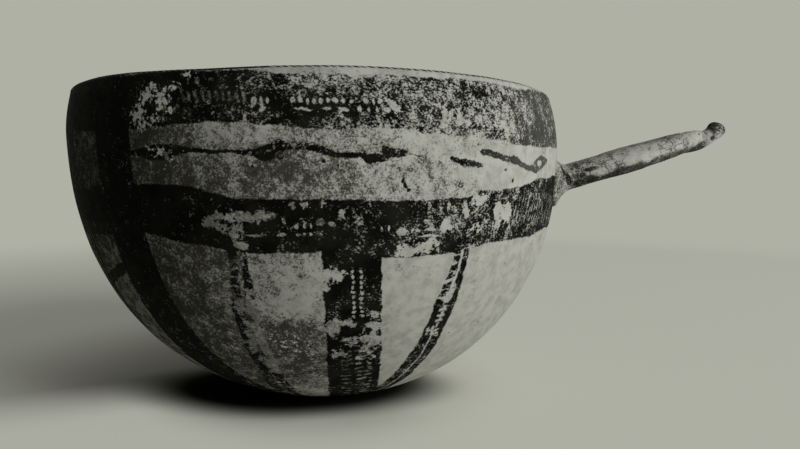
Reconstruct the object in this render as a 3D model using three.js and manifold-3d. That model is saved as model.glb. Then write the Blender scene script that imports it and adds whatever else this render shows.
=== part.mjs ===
// A hand-built clay bowl with a round bottom and a wishbone handle.
// Millimetres, +Z up. The origin is the middle of the small flat that the bowl stands on.
// The handle points along +X, and "front" is the arm on the -Y side.
import * as THREE from "three";
import { mergeVertices } from "three/addons/utils/BufferGeometryUtils.js";
import Module from "manifold-3d";

const wasm = await Module();
wasm.setup();

// Bowl
const BOWL_RADIUS = 100; // outside, at the widest level
const WIDEST_HEIGHT = 104; // level of the widest part above the table
const NECK_HEIGHT = 20; // from the widest part up to the top of the lip
const RIM_DRAW = 2.5; // how far the lip draws in from the widest part
const WALL = 4.6; // thickness of the side
const FLOOR = 6.5; // thickness of the clay over the flat
const FLAT_RADIUS = 20; // the flat that the bowl stands on
const ROUNDNESS = 2.15; // exponent of the belly's curve, where 2 is an ellipse

// What the maker's hand left in the shape
const MOUTH_SHIFT = -4; // the mouth's middle lies this far along X from the flat's
const RIM_DROP = 2; // fall of the rim from the far side to the handle
const RIM_WAVE = 2.4; // height of the two swells round the rim
const RIM_WAVE_TURN = 76; // degrees from the handle to the front swell

// Wishbone handle
const ROOT_DROP = 14.5; // from the widest level down to the middle of the front arm at the wall
const BACK_ROOT_DROP = 2.5; // how much lower the back arm meets the wall
const ARM_SPREAD = 44; // between the arms' middles at the wall
const HANDLE_TILT = 15.3; // degrees above level
const ARM_REACH = 63; // from the wall to the arms' meeting
const ARM_STRAIGHT = 30; // pull of an arm straight out of the wall
const ARM_CLOSING = 20; // pull of an arm in towards the other one
const MEETING_ANGLE = 38; // degrees between an arm's end and the handle's middle line
const ARM_WIDTH = 10.5;
const ARM_HEIGHT = 9.9;
const ARM_END_WIDTH = 7.5;
const ARM_END_HEIGHT = 8.2;
const ARM_END_GAP = 1.2; // between the two arms where they meet
const TENON_WIDTH = 7; // the end of an arm that goes through the wall
const TENON_HEIGHT = 6.6;
const TENON_PROUD = 1.2; // how far a tenon stands out inside the bowl
const SHOULDER_STAND = 1.2; // from the wall to where a tenon begins to swell
const SHOULDER_LENGTH = 4; // length over which it swells to the full arm
const SPUR_REACH = 15.6; // from the arms' meeting to the tip
const SPUR_LAP = 5; // how far the spur laps back over the arms
const SPUR_BEND = 7; // how far before the tip the spur turns up
const SPUR_DIP = 1.9; // how far the spur sinks below the arms' plane on its way
const SPUR_LIFT = 3.2; // how far the tip turns up out of that plane
const SPUR_WAIST_REACH = 9.5; // from the arms' meeting to the narrow place before the tip
const SPUR_WAIST_WIDTH = 9;
const SPUR_WAIST_HEIGHT = 6;
const SPUR_TIP_WIDTH = 9.5;
const SPUR_TIP_HEIGHT = 9.2;
const SPUR_END_ROUND = 4; // length over which each end rounds off
const SPUR_BLUNTNESS = 0.85; // 1 rounds an end off to a point, 0 leaves it flat

// Clay worked on at the joints
const FILLET_HEIGHT = 4.5; // stand of the outside fillet above the wall
const FILLET_SPREAD = 4; // how far its foot reaches past its lip
const FILLET_LIP = 0.5; // thickness of its lip round the arm
const FILLET_RISE = 1.4; // how far it sits above the arm's middle at the wall, as the arm climbs
const PATCH_RADIUS = 11; // pad smeared over a tenon inside the bowl
const PATCH_HEIGHT = 3.2;
const CLEARANCE = 0.3; // joint line between two pieces of clay

// Facets
const BOWL_SIDES = 64;
const BELLY_STEPS = 14;
const NECK_STEPS = 4;
const LIP_STEPS = 6;
const ROLL_SIDES = 16;
const ROLL_STEPS = 30;
const SPUR_STEPS = 14;
const FILLET_SIDES = 28;
const FILLET_STEPS = 6;

// Closed mesh to solid, and back
function solidOf(geometry) {
  const bare = geometry.index ? geometry.toNonIndexed() : geometry.clone();
  for (const name of Object.keys(bare.attributes)) {
    if (name !== "position") bare.deleteAttribute(name);
  }
  const merged = mergeVertices(bare, 1e-4);
  return new wasm.Manifold(
    new wasm.Mesh({
      numProp: 3,
      vertProperties: merged.attributes.position.array,
      triVerts: new Uint32Array(merged.index.array),
    }),
  );
}

function geometryOf(solid) {
  const { vertProperties, triVerts } = solid.getMesh();
  const geometry = new THREE.BufferGeometry();
  geometry.setAttribute("position", new THREE.BufferAttribute(vertProperties, 3));
  geometry.setIndex(new THREE.BufferAttribute(triVerts, 1));
  geometry.computeVertexNormals();
  return geometry;
}

// Sizes that follow
const RIM_HEIGHT = WIDEST_HEIGHT + NECK_HEIGHT;
const RIM_RADIUS = BOWL_RADIUS - RIM_DRAW;
// Depth from the widest level to the pole of the outside curve, which the flat cuts off
const OUTSIDE_DEPTH = WIDEST_HEIGHT / (1 - (FLAT_RADIUS / BOWL_RADIUS) ** ROUNDNESS) ** (1 / ROUNDNESS);

// Points of one belly curve from radius "from" out to its widest level, as (radius, height)
function bellyPoints(radius, depth, from) {
  const first = Math.asin((from / radius) ** (ROUNDNESS / 2));
  const points = [];
  for (let i = 0; i <= BELLY_STEPS; i++) {
    const angle = first + ((Math.PI / 2 - first) * i) / BELLY_STEPS;
    const r = radius * Math.sin(angle) ** (2 / ROUNDNESS);
    const down = depth * Math.max(Math.cos(angle), 0) ** (2 / ROUNDNESS);
    points.push(new THREE.Vector2(r, WIDEST_HEIGHT - down));
  }
  return points;
}

// Points from the widest level up to the lip's round, drawing in a little
function neckPoints(radius, lipRadius, top) {
  const points = [];
  for (let i = 1; i <= NECK_STEPS; i++) {
    const share = i / NECK_STEPS;
    const r = radius + (lipRadius - radius) * share ** 2;
    points.push(new THREE.Vector2(r, WIDEST_HEIGHT + (top - WIDEST_HEIGHT) * share));
  }
  return points;
}

// A point of the plain bowl moved to where the maker's hand left it
function handBuilt(p) {
  const share = p.z / RIM_HEIGHT;
  const turn = Math.atan2(-p.y, p.x) - THREE.MathUtils.degToRad(RIM_WAVE_TURN);
  const drop = (-RIM_DROP / 2) * (p.x / RIM_RADIUS) * share;
  const wave = (RIM_WAVE / 2) * Math.cos(2 * turn) * share ** 3 * (Math.hypot(p.x, p.y) / RIM_RADIUS);
  p.x += MOUTH_SHIFT * share;
  p.z += drop + wave;
  return p;
}

// A closed profile turned round the bowl's axis and given the maker's unevenness
function turned(points) {
  const geometry = new THREE.LatheGeometry(points, BOWL_SIDES).rotateX(Math.PI / 2);
  const position = geometry.attributes.position;
  const p = new THREE.Vector3();
  for (let i = 0; i < position.count; i++) {
    handBuilt(p.fromBufferAttribute(position, i));
    position.setXYZ(i, p.x, p.y, p.z);
  }
  return solidOf(geometry);
}

const OUTSIDE = [
  ...bellyPoints(BOWL_RADIUS, OUTSIDE_DEPTH, FLAT_RADIUS),
  ...neckPoints(BOWL_RADIUS, RIM_RADIUS, RIM_HEIGHT - WALL / 2),
];
const insidePoints = (gap) => [
  ...bellyPoints(BOWL_RADIUS - WALL - gap, WIDEST_HEIGHT - FLOOR - gap, 0),
  ...neckPoints(BOWL_RADIUS - WALL - gap, RIM_RADIUS - WALL - gap, RIM_HEIGHT - WALL / 2),
];

// Half-round lip that joins the outside to the inside
function lipPoints() {
  const points = [];
  for (let i = 1; i < LIP_STEPS; i++) {
    const angle = (Math.PI * i) / LIP_STEPS;
    const r = RIM_RADIUS - (WALL / 2) * (1 - Math.cos(angle));
    points.push(new THREE.Vector2(r, RIM_HEIGHT - (WALL / 2) * (1 - Math.sin(angle))));
  }
  return points;
}

const axisPoint = (height) => new THREE.Vector2(0, height);
const bowlShell = turned([axisPoint(0), ...OUTSIDE, ...lipPoints(), ...insidePoints(0).reverse()]);

// Everything inside the outer face, grown by the joint line: what a fillet has to stay clear of
const grownOutside = OUTSIDE.map((p) => new THREE.Vector2(p.x + CLEARANCE, p.y));
const outsideBlock = turned([axisPoint(0), ...grownOutside, axisPoint(RIM_HEIGHT)]);
// The cavity, shrunk by the joint line: where a patch may lie
const cavityBlock = turned([...insidePoints(CLEARANCE), axisPoint(RIM_HEIGHT)]);

// Where an arm meets the wall
const FRONT = -1;
const BACK = 1;
const rootDrop = (side) => ROOT_DROP + (side === BACK ? BACK_ROOT_DROP : 0);
const rootRadius = (side) =>
  BOWL_RADIUS * (1 - (Math.abs(rootDrop(side)) / OUTSIDE_DEPTH) ** ROUNDNESS) ** (1 / ROUNDNESS);
const rootTurn = (side) => Math.asin(ARM_SPREAD / 2 / rootRadius(side));
const wallNormal = (side) => new THREE.Vector3(Math.cos(rootTurn(side)), side * Math.sin(rootTurn(side)), 0);
function rootPoint(side, inward) {
  const plain = wallNormal(side).multiplyScalar(rootRadius(side) - inward);
  return handBuilt(plain.setZ(WIDEST_HEIGHT - rootDrop(side)));
}

// The handle's own plane: "out" runs from the wall to the tip, "up" stands on the plane
const TILT = THREE.MathUtils.degToRad(HANDLE_TILT);
const OUT = new THREE.Vector3(Math.cos(TILT), 0, Math.sin(TILT));
const UP = new THREE.Vector3(-Math.sin(TILT), 0, Math.cos(TILT));
const ACROSS = new THREE.Vector3(0, 1, 0);
const ROOT_MIDDLE = rootPoint(FRONT, 0).setY(0);
const inPlane = (out, across, up) =>
  ROOT_MIDDLE.clone().addScaledVector(OUT, out).addScaledVector(ACROSS, across).addScaledVector(UP, up);

// A roll of clay with oval sections, laid along a path
function roll(path, steps, halfWidth, halfHeight) {
  const geometry = new THREE.CylinderGeometry(1, 1, 1, ROLL_SIDES, steps);
  const position = geometry.attributes.position;
  const p = new THREE.Vector3();
  for (let i = 0; i < position.count; i++) {
    p.fromBufferAttribute(position, i);
    const share = THREE.MathUtils.clamp(p.y + 0.5, 0, 1);
    const tangent = path.getTangent(share);
    const sideways = UP.clone().cross(tangent).normalize();
    const upward = tangent.clone().cross(sideways);
    const place = path
      .getPoint(share)
      .addScaledVector(sideways, p.x * halfWidth(share))
      .addScaledVector(upward, -p.z * halfHeight(share));
    position.setXYZ(i, place.x, place.y, place.z);
  }
  return solidOf(geometry);
}

// One arm: a straight tenon through the wall, then a curve in to the meeting. A gap makes its seat
const tenonReach = (side) => WALL / Math.cos(rootTurn(side)) + TENON_PROUD;
const ARM_END_ACROSS = ARM_END_GAP / 2 + ARM_END_WIDTH / 2;
const MEETING = THREE.MathUtils.degToRad(MEETING_ANGLE);
function armPath(side, tenonLength) {
  const half = (side * ARM_SPREAD) / 2;
  const closingAcross = side * (ARM_END_ACROSS + ARM_CLOSING * Math.sin(MEETING));
  const root = rootPoint(side, 0).sub(ROOT_MIDDLE);
  const out = root.dot(OUT);
  const up = root.dot(UP);
  const path = new THREE.CurvePath();
  path.add(new THREE.LineCurve3(inPlane(out - tenonLength, half, up), inPlane(out, half, up)));
  path.add(
    new THREE.CubicBezierCurve3(
      inPlane(out, half, up),
      inPlane(out + ARM_STRAIGHT, half, up),
      inPlane(ARM_REACH - ARM_CLOSING * Math.cos(MEETING), closingAcross, 0),
      inPlane(ARM_REACH, side * ARM_END_ACROSS, 0),
    ),
  );
  return path;
}

function armRoll(side, gap) {
  const tenonLength = tenonReach(side) + gap;
  const path = armPath(side, tenonLength);
  const length = path.getLength();
  const size = (tenon, arm, end) => (share) => {
    const along = share * length - tenonLength;
    const swell = THREE.MathUtils.smoothstep(along, SHOULDER_STAND, SHOULDER_STAND + SHOULDER_LENGTH);
    const taper = THREE.MathUtils.smoothstep(along, ARM_STRAIGHT, length - tenonLength);
    return (tenon + (arm - tenon) * swell + (end - arm) * taper) / 2 + gap;
  };
  const width = size(TENON_WIDTH, ARM_WIDTH, ARM_END_WIDTH);
  return roll(path, ROLL_STEPS, width, size(TENON_HEIGHT, ARM_HEIGHT, ARM_END_HEIGHT));
}

// The spur: the pinched end of the handle, broad over the arms, waisted, and turned up at its tip
function spurRoll(gap) {
  const path = new THREE.QuadraticBezierCurve3(
    inPlane(ARM_REACH - SPUR_LAP - gap, 0, 0),
    inPlane(ARM_REACH + SPUR_REACH - SPUR_BEND, 0, -2 * SPUR_DIP),
    inPlane(ARM_REACH + SPUR_REACH + gap, 0, SPUR_LIFT),
  );
  const length = path.getLength();
  // A share of the full section that closes to a blunt end over the stated length
  const blunt = (along) => Math.sqrt(1 - (1 - Math.min(along / SPUR_END_ROUND, 1)) ** 2 * SPUR_BLUNTNESS);
  const size = (base, waist, tip) => (share) => {
    const along = share * length;
    const waistAlong = SPUR_LAP + SPUR_WAIST_REACH;
    const narrow = THREE.MathUtils.smoothstep(along, 0, waistAlong);
    const widen = THREE.MathUtils.smoothstep(along, waistAlong, length - SPUR_END_ROUND);
    const section = base + (waist - base) * narrow + (tip - waist) * widen;
    return (section / 2) * blunt(along) * blunt(length - along) + gap;
  };
  const width = size(2 * ARM_END_ACROSS + ARM_END_WIDTH, SPUR_WAIST_WIDTH, SPUR_TIP_WIDTH);
  return roll(path, SPUR_STEPS, width, size(ARM_END_HEIGHT, SPUR_WAIST_HEIGHT, SPUR_TIP_HEIGHT));
}

// A turned piece stood on the wall with its axis along the wall's normal, and its height scaled
function onWall(points, foot, normal, heightScale) {
  const geometry = new THREE.LatheGeometry(points, FILLET_SIDES).scale(1, 1, heightScale);
  const turn = new THREE.Quaternion().setFromUnitVectors(new THREE.Vector3(0, 1, 0), normal);
  geometry.applyQuaternion(turn).translate(foot.x, foot.y, foot.z);
  return solidOf(geometry);
}

// Outside fillet: a hollow-sided ring that runs from the arm out onto the wall
function filletBlock(side) {
  const inner = ARM_WIDTH / 2 + CLEARANCE;
  const points = [axisPoint(-WALL), new THREE.Vector2(inner + FILLET_LIP + FILLET_SPREAD, -WALL)];
  for (let i = 0; i <= FILLET_STEPS; i++) {
    const angle = (Math.PI / 2) * (i / FILLET_STEPS);
    const r = inner + FILLET_LIP + FILLET_SPREAD * (1 - Math.sin(angle));
    points.push(new THREE.Vector2(r, CLEARANCE + FILLET_HEIGHT * (1 - Math.cos(angle))));
  }
  points.push(axisPoint(CLEARANCE + FILLET_HEIGHT));
  const foot = rootPoint(side, 0).addScaledVector(UP, FILLET_RISE);
  return onWall(points, foot, wallNormal(side), ARM_HEIGHT / ARM_WIDTH);
}

// Inside patch: a low dome of clay over the tenon's end
function patchBlock(side) {
  const points = [axisPoint(-PATCH_HEIGHT), new THREE.Vector2(PATCH_RADIUS, -PATCH_HEIGHT)];
  for (let i = 0; i < FILLET_STEPS; i++) {
    const angle = (Math.PI / 2) * (i / FILLET_STEPS);
    points.push(new THREE.Vector2(PATCH_RADIUS * Math.cos(angle), PATCH_HEIGHT * Math.sin(angle)));
  }
  points.push(axisPoint(PATCH_HEIGHT));
  return onWall(points, rootPoint(side, WALL), wallNormal(side).negate(), 1);
}

// Finishes: pale slip, the same worn inside the bowl, and slip over worked-on clay
const SLIP = { color: 0xbebaa9, roughness: 0.62, metalness: 0 };
const INSIDE_SLIP = { color: 0xb3ab97, roughness: 0.7, metalness: 0 };
const LUTED_CLAY = { color: 0xaaa493, roughness: 0.75, metalness: 0 };

const bowl = new THREE.Group();
function place(name, solid, finish) {
  const mesh = new THREE.Mesh(geometryOf(solid), new THREE.MeshStandardMaterial(finish));
  mesh.name = name;
  bowl.add(mesh);
}

const SIDES = { front: FRONT, back: BACK };
const spur = spurRoll(0);
const spurSeat = spurRoll(CLEARANCE);
let body = bowlShell;
for (const [name, side] of Object.entries(SIDES)) {
  const arm = armRoll(side, 0).subtract(spurSeat);
  const armSeat = armRoll(side, CLEARANCE);
  body = body.subtract(armSeat);
  place(`handle_arm_${name}`, arm, SLIP);
  place(`root_fillet_${name}`, filletBlock(side).subtract(outsideBlock).subtract(armSeat), LUTED_CLAY);
  place(`tenon_patch_${name}`, patchBlock(side).intersect(cavityBlock).subtract(armSeat), INSIDE_SLIP);
}
place("handle_spur", spur, SLIP);
place("bowl_body", body, SLIP);

export default bowl;
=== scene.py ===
# %% [markdown]
# # A painted bowl with a wishbone handle
# The real bowl was built by hand from coils of clay, coated with pale slip and painted with dark bands. Its
# handle is two rolls of clay that were pushed through the wall and pinched together at the tip. The packed
# solids give every piece its place and size. We could show those solids, but they are faceted and bare, so
# this lesson rebuilds each piece as a fine mesh in the same frame and dresses it in worn paint.

# %% Load the frame
import math
import random
from functools import partialmethod

import bpy
import numpy as np
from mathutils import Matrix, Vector, noise


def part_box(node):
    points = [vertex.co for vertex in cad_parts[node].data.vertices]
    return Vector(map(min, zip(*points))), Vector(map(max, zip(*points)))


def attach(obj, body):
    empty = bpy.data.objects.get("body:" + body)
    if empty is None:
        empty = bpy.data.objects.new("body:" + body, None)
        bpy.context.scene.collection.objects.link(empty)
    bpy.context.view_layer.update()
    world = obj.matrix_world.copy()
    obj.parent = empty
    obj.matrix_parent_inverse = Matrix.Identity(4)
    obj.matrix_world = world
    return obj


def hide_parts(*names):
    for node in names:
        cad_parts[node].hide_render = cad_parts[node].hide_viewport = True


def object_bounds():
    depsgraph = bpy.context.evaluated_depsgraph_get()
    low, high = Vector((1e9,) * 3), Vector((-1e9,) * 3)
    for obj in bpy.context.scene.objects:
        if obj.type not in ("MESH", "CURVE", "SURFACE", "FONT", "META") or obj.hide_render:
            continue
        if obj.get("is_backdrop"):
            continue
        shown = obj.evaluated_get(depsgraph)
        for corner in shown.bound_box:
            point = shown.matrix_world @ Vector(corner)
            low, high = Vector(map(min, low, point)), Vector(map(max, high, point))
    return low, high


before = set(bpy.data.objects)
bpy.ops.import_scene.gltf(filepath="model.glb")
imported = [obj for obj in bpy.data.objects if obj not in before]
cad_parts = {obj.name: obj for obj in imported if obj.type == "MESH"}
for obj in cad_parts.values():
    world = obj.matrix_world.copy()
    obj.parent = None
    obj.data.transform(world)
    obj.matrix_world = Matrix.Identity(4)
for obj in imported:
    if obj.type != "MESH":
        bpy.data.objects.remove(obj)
cad_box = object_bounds()

MM = 0.001
scene = bpy.context.scene
scene.view_settings.view_transform = "Standard"
print("solids to dress:", ", ".join(sorted(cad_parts)))

# %% [markdown]
# ## The camera
# The photo was taken from the side, about 30 mm below the height of the rim, with a lens that was close to
# the bowl. We could aim a camera by eye, but a place and a focal length that were measured from the rim's
# ellipse and the handle keep the bowl's outline true.

# %% Set up the camera
EYE = Vector((31, -320, 94.8)) * MM
LOOK_DOWN = math.radians(4.62)
IMAGE_WIDTH = 800
FOCAL_LENGTH_PX = 738.1


def put_in_scene(name, data):
    """Makes an object of a mesh, a lamp or a camera."""
    thing = bpy.data.objects.new(name, data)
    scene.collection.objects.link(thing)
    return thing


lens = bpy.data.cameras.new("side_view")
lens.sensor_width = 36
lens.lens = lens.sensor_width * FOCAL_LENGTH_PX / IMAGE_WIDTH
lens.clip_start = 0.01
camera = put_in_scene("side_view", lens)
camera.location = EYE
camera.rotation_euler = (math.pi / 2 - LOOK_DOWN, 0, 0)
scene.camera = camera
print(f"lens of {lens.lens:.1f} mm, {-EYE.y / MM:.0f} mm from the bowl's middle")

# %% [markdown]
# ## Wires between nodes
# Every finish below is a tree of nodes, and its sums would be long to place one node at a time. A small
# class lets us write them as plain arithmetic: adding two wires places an Add node, and so on.

# %% Wires


def plug(tree, value, slot):
    """Links a wire into a socket, or sets the socket to a plain number or colour."""
    if isinstance(value, Wire):
        tree.links.new(value.socket, slot)
    else:
        slot.default_value = value


class Wire:
    """A value on its way through a node tree. Arithmetic on it places Math nodes."""

    def __init__(self, tree, socket):
        self.tree = tree
        self.socket = socket

    def into(self, kind, *others, **settings):
        """Places a node of this kind with the wire and the other values in its first sockets."""
        node = self.tree.nodes.new(kind)
        for name, value in settings.items():
            setattr(node, name, value)
        for slot, value in zip(node.inputs, (self, *others)):
            plug(self.tree, value, slot)
        return Wire(self.tree, node.outputs[0])

    def sum(self, operation, *others):
        """Places a Math node."""
        return self.into("ShaderNodeMath", *others, operation=operation)

    __add__ = __radd__ = partialmethod(sum, "ADD")
    __mul__ = __rmul__ = partialmethod(sum, "MULTIPLY")
    __sub__ = partialmethod(sum, "SUBTRACT")
    __truediv__ = partialmethod(sum, "DIVIDE")
    over = partialmethod(sum, "MAXIMUM")
    size = partialmethod(sum, "ABSOLUTE")
    bearing = partialmethod(sum, "ARCTAN2")
    swing = partialmethod(sum, "PINGPONG")

    def __rsub__(self, other):
        return self * -1 + other

    def rise(self, start, end):
        """Goes smoothly from 0 at start to 1 at end, which may be the lower of the two."""
        return self.into("ShaderNodeMapRange", start, end, interpolation_type="SMOOTHSTEP")

    def between(self, low, high, soft):
        """1 where the value lies between the two, with soft edges."""
        return self.rise(low - soft, low + soft) * self.rise(high + soft, high - soft)

    def within(self, half, soft):
        """1 where the value lies within half of zero on either side."""
        return self.size().rise(half + soft, half - soft)

    def split(self):
        """The x, y and z of a place, as three wires."""
        node = self.tree.nodes.new("ShaderNodeSeparateXYZ")
        plug(self.tree, self, node.inputs[0])
        return [Wire(self.tree, socket) for socket in node.outputs]


print("wires ready")

# %% Helpers for materials


def place_node(tree, kind, output=0):
    """Places a node of this kind and returns one of its outputs."""
    return Wire(tree, tree.nodes.new(kind).outputs[output])


def blend(factor, first, second):
    """Mixes two colours: the first at factor 0, the second at 1."""
    node = factor.tree.nodes.new("ShaderNodeMix")
    node.data_type = "RGBA"
    for slot, value in zip((node.inputs[0], node.inputs[6], node.inputs[7]), (factor, first, second)):
        plug(factor.tree, value, slot)
    return Wire(factor.tree, node.outputs[2])


def new_material(name):
    """A material with an empty node tree."""
    material = bpy.data.materials.new(name)
    material.use_nodes = True
    tree = material.node_tree
    tree.nodes.clear()
    return material, tree


print("material helpers ready")

# %% [markdown]
# ## Light and backdrop
# The bowl is lit by one soft lamp from above its handle's side, so its left turns dark. More lamps would
# show more but flatten it. The sky is dim in front and brighter behind, where it reaches the far side
# without lifting the dark one. Seen directly, the sky is an even grey, as a studio's backdrop is.

# %% Lamp
LIT_POINT = Vector((0, 0, 70)) * MM


def soft_lamp(name, turn, rise, distance, width, level):
    """A square lamp in metres, which lights white paper that faces it to this level."""
    level_part = math.cos(math.radians(rise))
    towards = Vector((
        math.cos(math.radians(turn)) * level_part,
        -math.sin(math.radians(turn)) * level_part,
        math.sin(math.radians(rise)),
    ))
    lamp = bpy.data.lights.new(name, "AREA")
    lamp.size = width
    lamp.energy = level * (math.pi * distance) ** 2
    holder = put_in_scene(name, lamp)
    holder.location = LIT_POINT + towards * distance
    holder.rotation_euler = towards.to_track_quat("Z", "Y").to_euler()
    holder.visible_camera = False


soft_lamp("handle_side_lamp", turn=35, rise=25, distance=1.5, width=0.75, level=0.58)
print("one soft lamp, on the handle's side")

# %% Sky
BACKDROP = (0.430, 0.440, 0.378, 1)
SKY = (1, 0.98, 0.94, 1)
FRONT_SKY = 0.012
BACK_SKY = 0.55
# How far to the back a direction points where the sky starts to brighten, and where it is brightest.
BACK_SPAN = (0.35, 1)


def seen_directly(tree):
    """1 for rays from the camera, or by way of a mirror or glass."""
    rays = tree.nodes.new("ShaderNodeLightPath").outputs
    camera_ray, glossy_ray, clear_ray = (
        Wire(tree, rays[f"Is {kind} Ray"]) for kind in ("Camera", "Glossy", "Transmission")
    )
    return camera_ray.over(glossy_ray).over(clear_ray)


def mix_shaders(tree, factor, first, second):
    """Mixes two shaders: the first at factor 0, the second at 1."""
    node = tree.nodes.new("ShaderNodeMixShader")
    plug(tree, factor, node.inputs[0])
    tree.links.new(first.outputs[0], node.inputs[1])
    tree.links.new(second.outputs[0], node.inputs[2])
    return node


world = bpy.data.worlds.new("studio")
scene.world = world
world.use_nodes = True
sky_tree = world.node_tree
sky_tree.nodes.clear()
sky, backdrop = (sky_tree.nodes.new("ShaderNodeBackground") for _ in range(2))
backdrop.inputs["Color"].default_value = BACKDROP
_, away, _ = place_node(sky_tree, "ShaderNodeTexCoord", "Generated").split()
plug(sky_tree, away.rise(*BACK_SPAN) * BACK_SKY + FRONT_SKY, sky.inputs["Strength"])
sky.inputs["Color"].default_value = SKY
studio = mix_shaders(sky_tree, seen_directly(sky_tree), sky, backdrop)
sky_output = sky_tree.nodes.new("ShaderNodeOutputWorld")
sky_tree.links.new(studio.outputs[0], sky_output.inputs["Surface"])
print("sky from", FRONT_SKY, "in front to", FRONT_SKY + BACK_SKY, "behind")

# %% [markdown]
# ## The sheet below
# A pale sheet takes the bowl's shadow. It also sends light back up under the belly, as a white card would,
# on the lamp's side only. A sheet that is only lit would end in a horizon, so further out it glows in the
# backdrop's grey. Away from the shadow that glow fans out from close to the bowl, and a dark oval of painted
# shadow darkens the sheet right under the belly.

# %% Floor
FLOOR_RADIUS = 4.0
FLOOR_CORNERS = 64
FLOOR_DROP = 0.2 * MM
SHEET_SEEN = (0.86, 0.87, 0.76, 1)
WHITE_CARD = (0.92, 0.92, 0.86, 1)
DARK_CARD = (0.1, 0.1, 0.09, 1)
CARD_EDGE = (-0.16, 0.02)
# The glow comes up in two steps, each between two distances from the middle, in metres.
NEAR_GLOW = (0.07, 0.2)
FAR_GLOW = (0.2, 0.75)
NEAR_SHARE = 0.35
# The shadow's direction, the cosines of the angles to it between which the fan comes up, and where it starts.
SHADE_TURN = math.radians(145)
FAN_EDGE = (0.86, 0.36)
FAN_START = (0.04, 0.085)
FAN_SHARE = 0.85
# The oval of painted contact shadow fades out between two multiples of its reach.
CONTACT_SHADE = (0.018, 0.018, 0.015, 1)
CONTACT_SHADE_MIDDLE = (-0.015, -0.008)
CONTACT_SHADE_REACH = (0.062, 0.036)
CONTACT_SHADE_EDGE = (1.3, 0.7)

material, tree = new_material("pale_sheet")
seen = seen_directly(tree)
x, y, _ = place_node(tree, "ShaderNodeTexCoord", "Object").split()
away = (x * x + y * y).sum("SQRT")
far = away.rise(*NEAR_GLOW) * NEAR_SHARE + away.rise(*FAR_GLOW) * (1 - NEAR_SHARE)
into_shade = (x * math.cos(SHADE_TURN) + y * math.sin(SHADE_TURN)) / away
far = far.over(into_shade.rise(*FAN_EDGE) * away.rise(*FAN_START) * FAN_SHARE)
# Painted contact shadow: a dark oval on the sheet under the belly, where the glow is held back too.
shade_x, shade_y = ((axis - middle) / reach for axis, middle, reach in zip((x, y), CONTACT_SHADE_MIDDLE, CONTACT_SHADE_REACH))
contact_shade = (shade_x * shade_x + shade_y * shade_y).sum("SQRT").rise(*CONTACT_SHADE_EDGE)
sheet = tree.nodes.new("ShaderNodeBsdfDiffuse")
card = blend(x.rise(*CARD_EDGE), DARK_CARD, WHITE_CARD)
plug(tree, blend(contact_shade, blend(seen, card, SHEET_SEEN), CONTACT_SHADE), sheet.inputs["Color"])
glow = tree.nodes.new("ShaderNodeEmission")
glow.inputs["Color"].default_value = BACKDROP
sheet_shader = mix_shaders(tree, far * seen * (1 - contact_shade), sheet, glow)
output = tree.nodes.new("ShaderNodeOutputMaterial")
tree.links.new(sheet_shader.outputs[0], output.inputs["Surface"])

floor_mesh = bpy.data.meshes.new("pale_sheet")
edge = [math.tau * step / FLOOR_CORNERS for step in range(FLOOR_CORNERS)]
corners = [(FLOOR_RADIUS * math.cos(angle), FLOOR_RADIUS * math.sin(angle), -FLOOR_DROP) for angle in edge]
floor_mesh.from_pydata(corners, [], [range(len(corners))])
floor_mesh.materials.append(material)
put_in_scene("pale_sheet", floor_mesh)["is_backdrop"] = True
print("floor of", FLOOR_RADIUS, "m")

# %% [markdown]
# ## The bowl's form
# The bowl is a deep round belly with a small worn flat below and a neck that draws in a little at the rim.
# It was raised from coils, so its mouth leans and its rim waves. A lathe alone would look machine-made. We
# turn the same outline as the solids, lean and wave it as they do, and then add what is too slight for
# them: a dip of the rim on the camera's side and a few dents from noise.

# %% Sizes of the bowl
bowl_low, bowl_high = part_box("bowl_body")
BOWL_RADIUS = (bowl_high.y - bowl_low.y) / 2 / MM
WIDEST_HEIGHT = 104
NECK_HEIGHT = 20
RIM_DRAW = 2.5
WALL = 4.6
FLOOR = 6.5
FLAT_RADIUS = 20
ROUNDNESS = 2.15

RIM_HEIGHT = WIDEST_HEIGHT + NECK_HEIGHT
RIM_RADIUS = BOWL_RADIUS - RIM_DRAW
OUTSIDE_DEPTH = WIDEST_HEIGHT / (1 - (FLAT_RADIUS / BOWL_RADIUS) ** ROUNDNESS) ** (1 / ROUNDNESS)
INSIDE_DEPTH = WIDEST_HEIGHT - FLOOR
print(f"bowl of {2 * BOWL_RADIUS:.0f} mm across, with its rim at {RIM_HEIGHT} mm")

# %% Lean and dents
MOUTH_SHIFT = -4
RIM_DROP = 2
RIM_WAVE = 2.4
RIM_WAVE_TURN = math.radians(76)
RIM_DIP = 0.85
RIM_DIP_TURN = math.radians(105)
RIM_DIP_SPREAD = math.radians(20)
# Sizes of the dents and their depths, in mm, and the heights between which they fade out towards the flat.
DENTS = ((60, 0.5), (14, 0.13))
DENTED = (2, 22)


def hand_built(x, y, z):
    """Leans the mouth away from the handle and lets the rim wave and dip, as on a bowl raised by hand."""
    share = z / RIM_HEIGHT
    turn = np.arctan2(-y, x)
    lean = -RIM_DROP / 2 * x / RIM_RADIUS * share
    wave = RIM_WAVE / 2 * np.cos(2 * (turn - RIM_WAVE_TURN))
    dip = RIM_DIP * np.exp(-(((turn - RIM_DIP_TURN) / RIM_DIP_SPREAD) ** 2))
    near_rim = share**3 * np.hypot(x, y) / RIM_RADIUS
    return x + MOUTH_SHIFT * share, y, z + lean + (wave - dip) * near_rim


def smooth(value, start, end):
    """Goes smoothly from 0 at start to 1 at end."""
    share = np.clip((value - start) / (end - start), 0, 1)
    return share * share * (3 - 2 * share)


def pressed_by(lumps, place):
    """How far clay was pressed in or out at a place, by lumps that hold (size, depth) in mm."""
    return sum(depth * noise.noise(place / size) for size, depth in lumps)


def dent(x, y, z):
    """How far the wall was pressed in or out here."""
    return pressed_by(DENTS, Vector((x, y, z))) * float(smooth(z, *DENTED))


print("mouth shifted by", MOUTH_SHIFT, "mm, rim waving by", RIM_WAVE, "mm")

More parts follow.
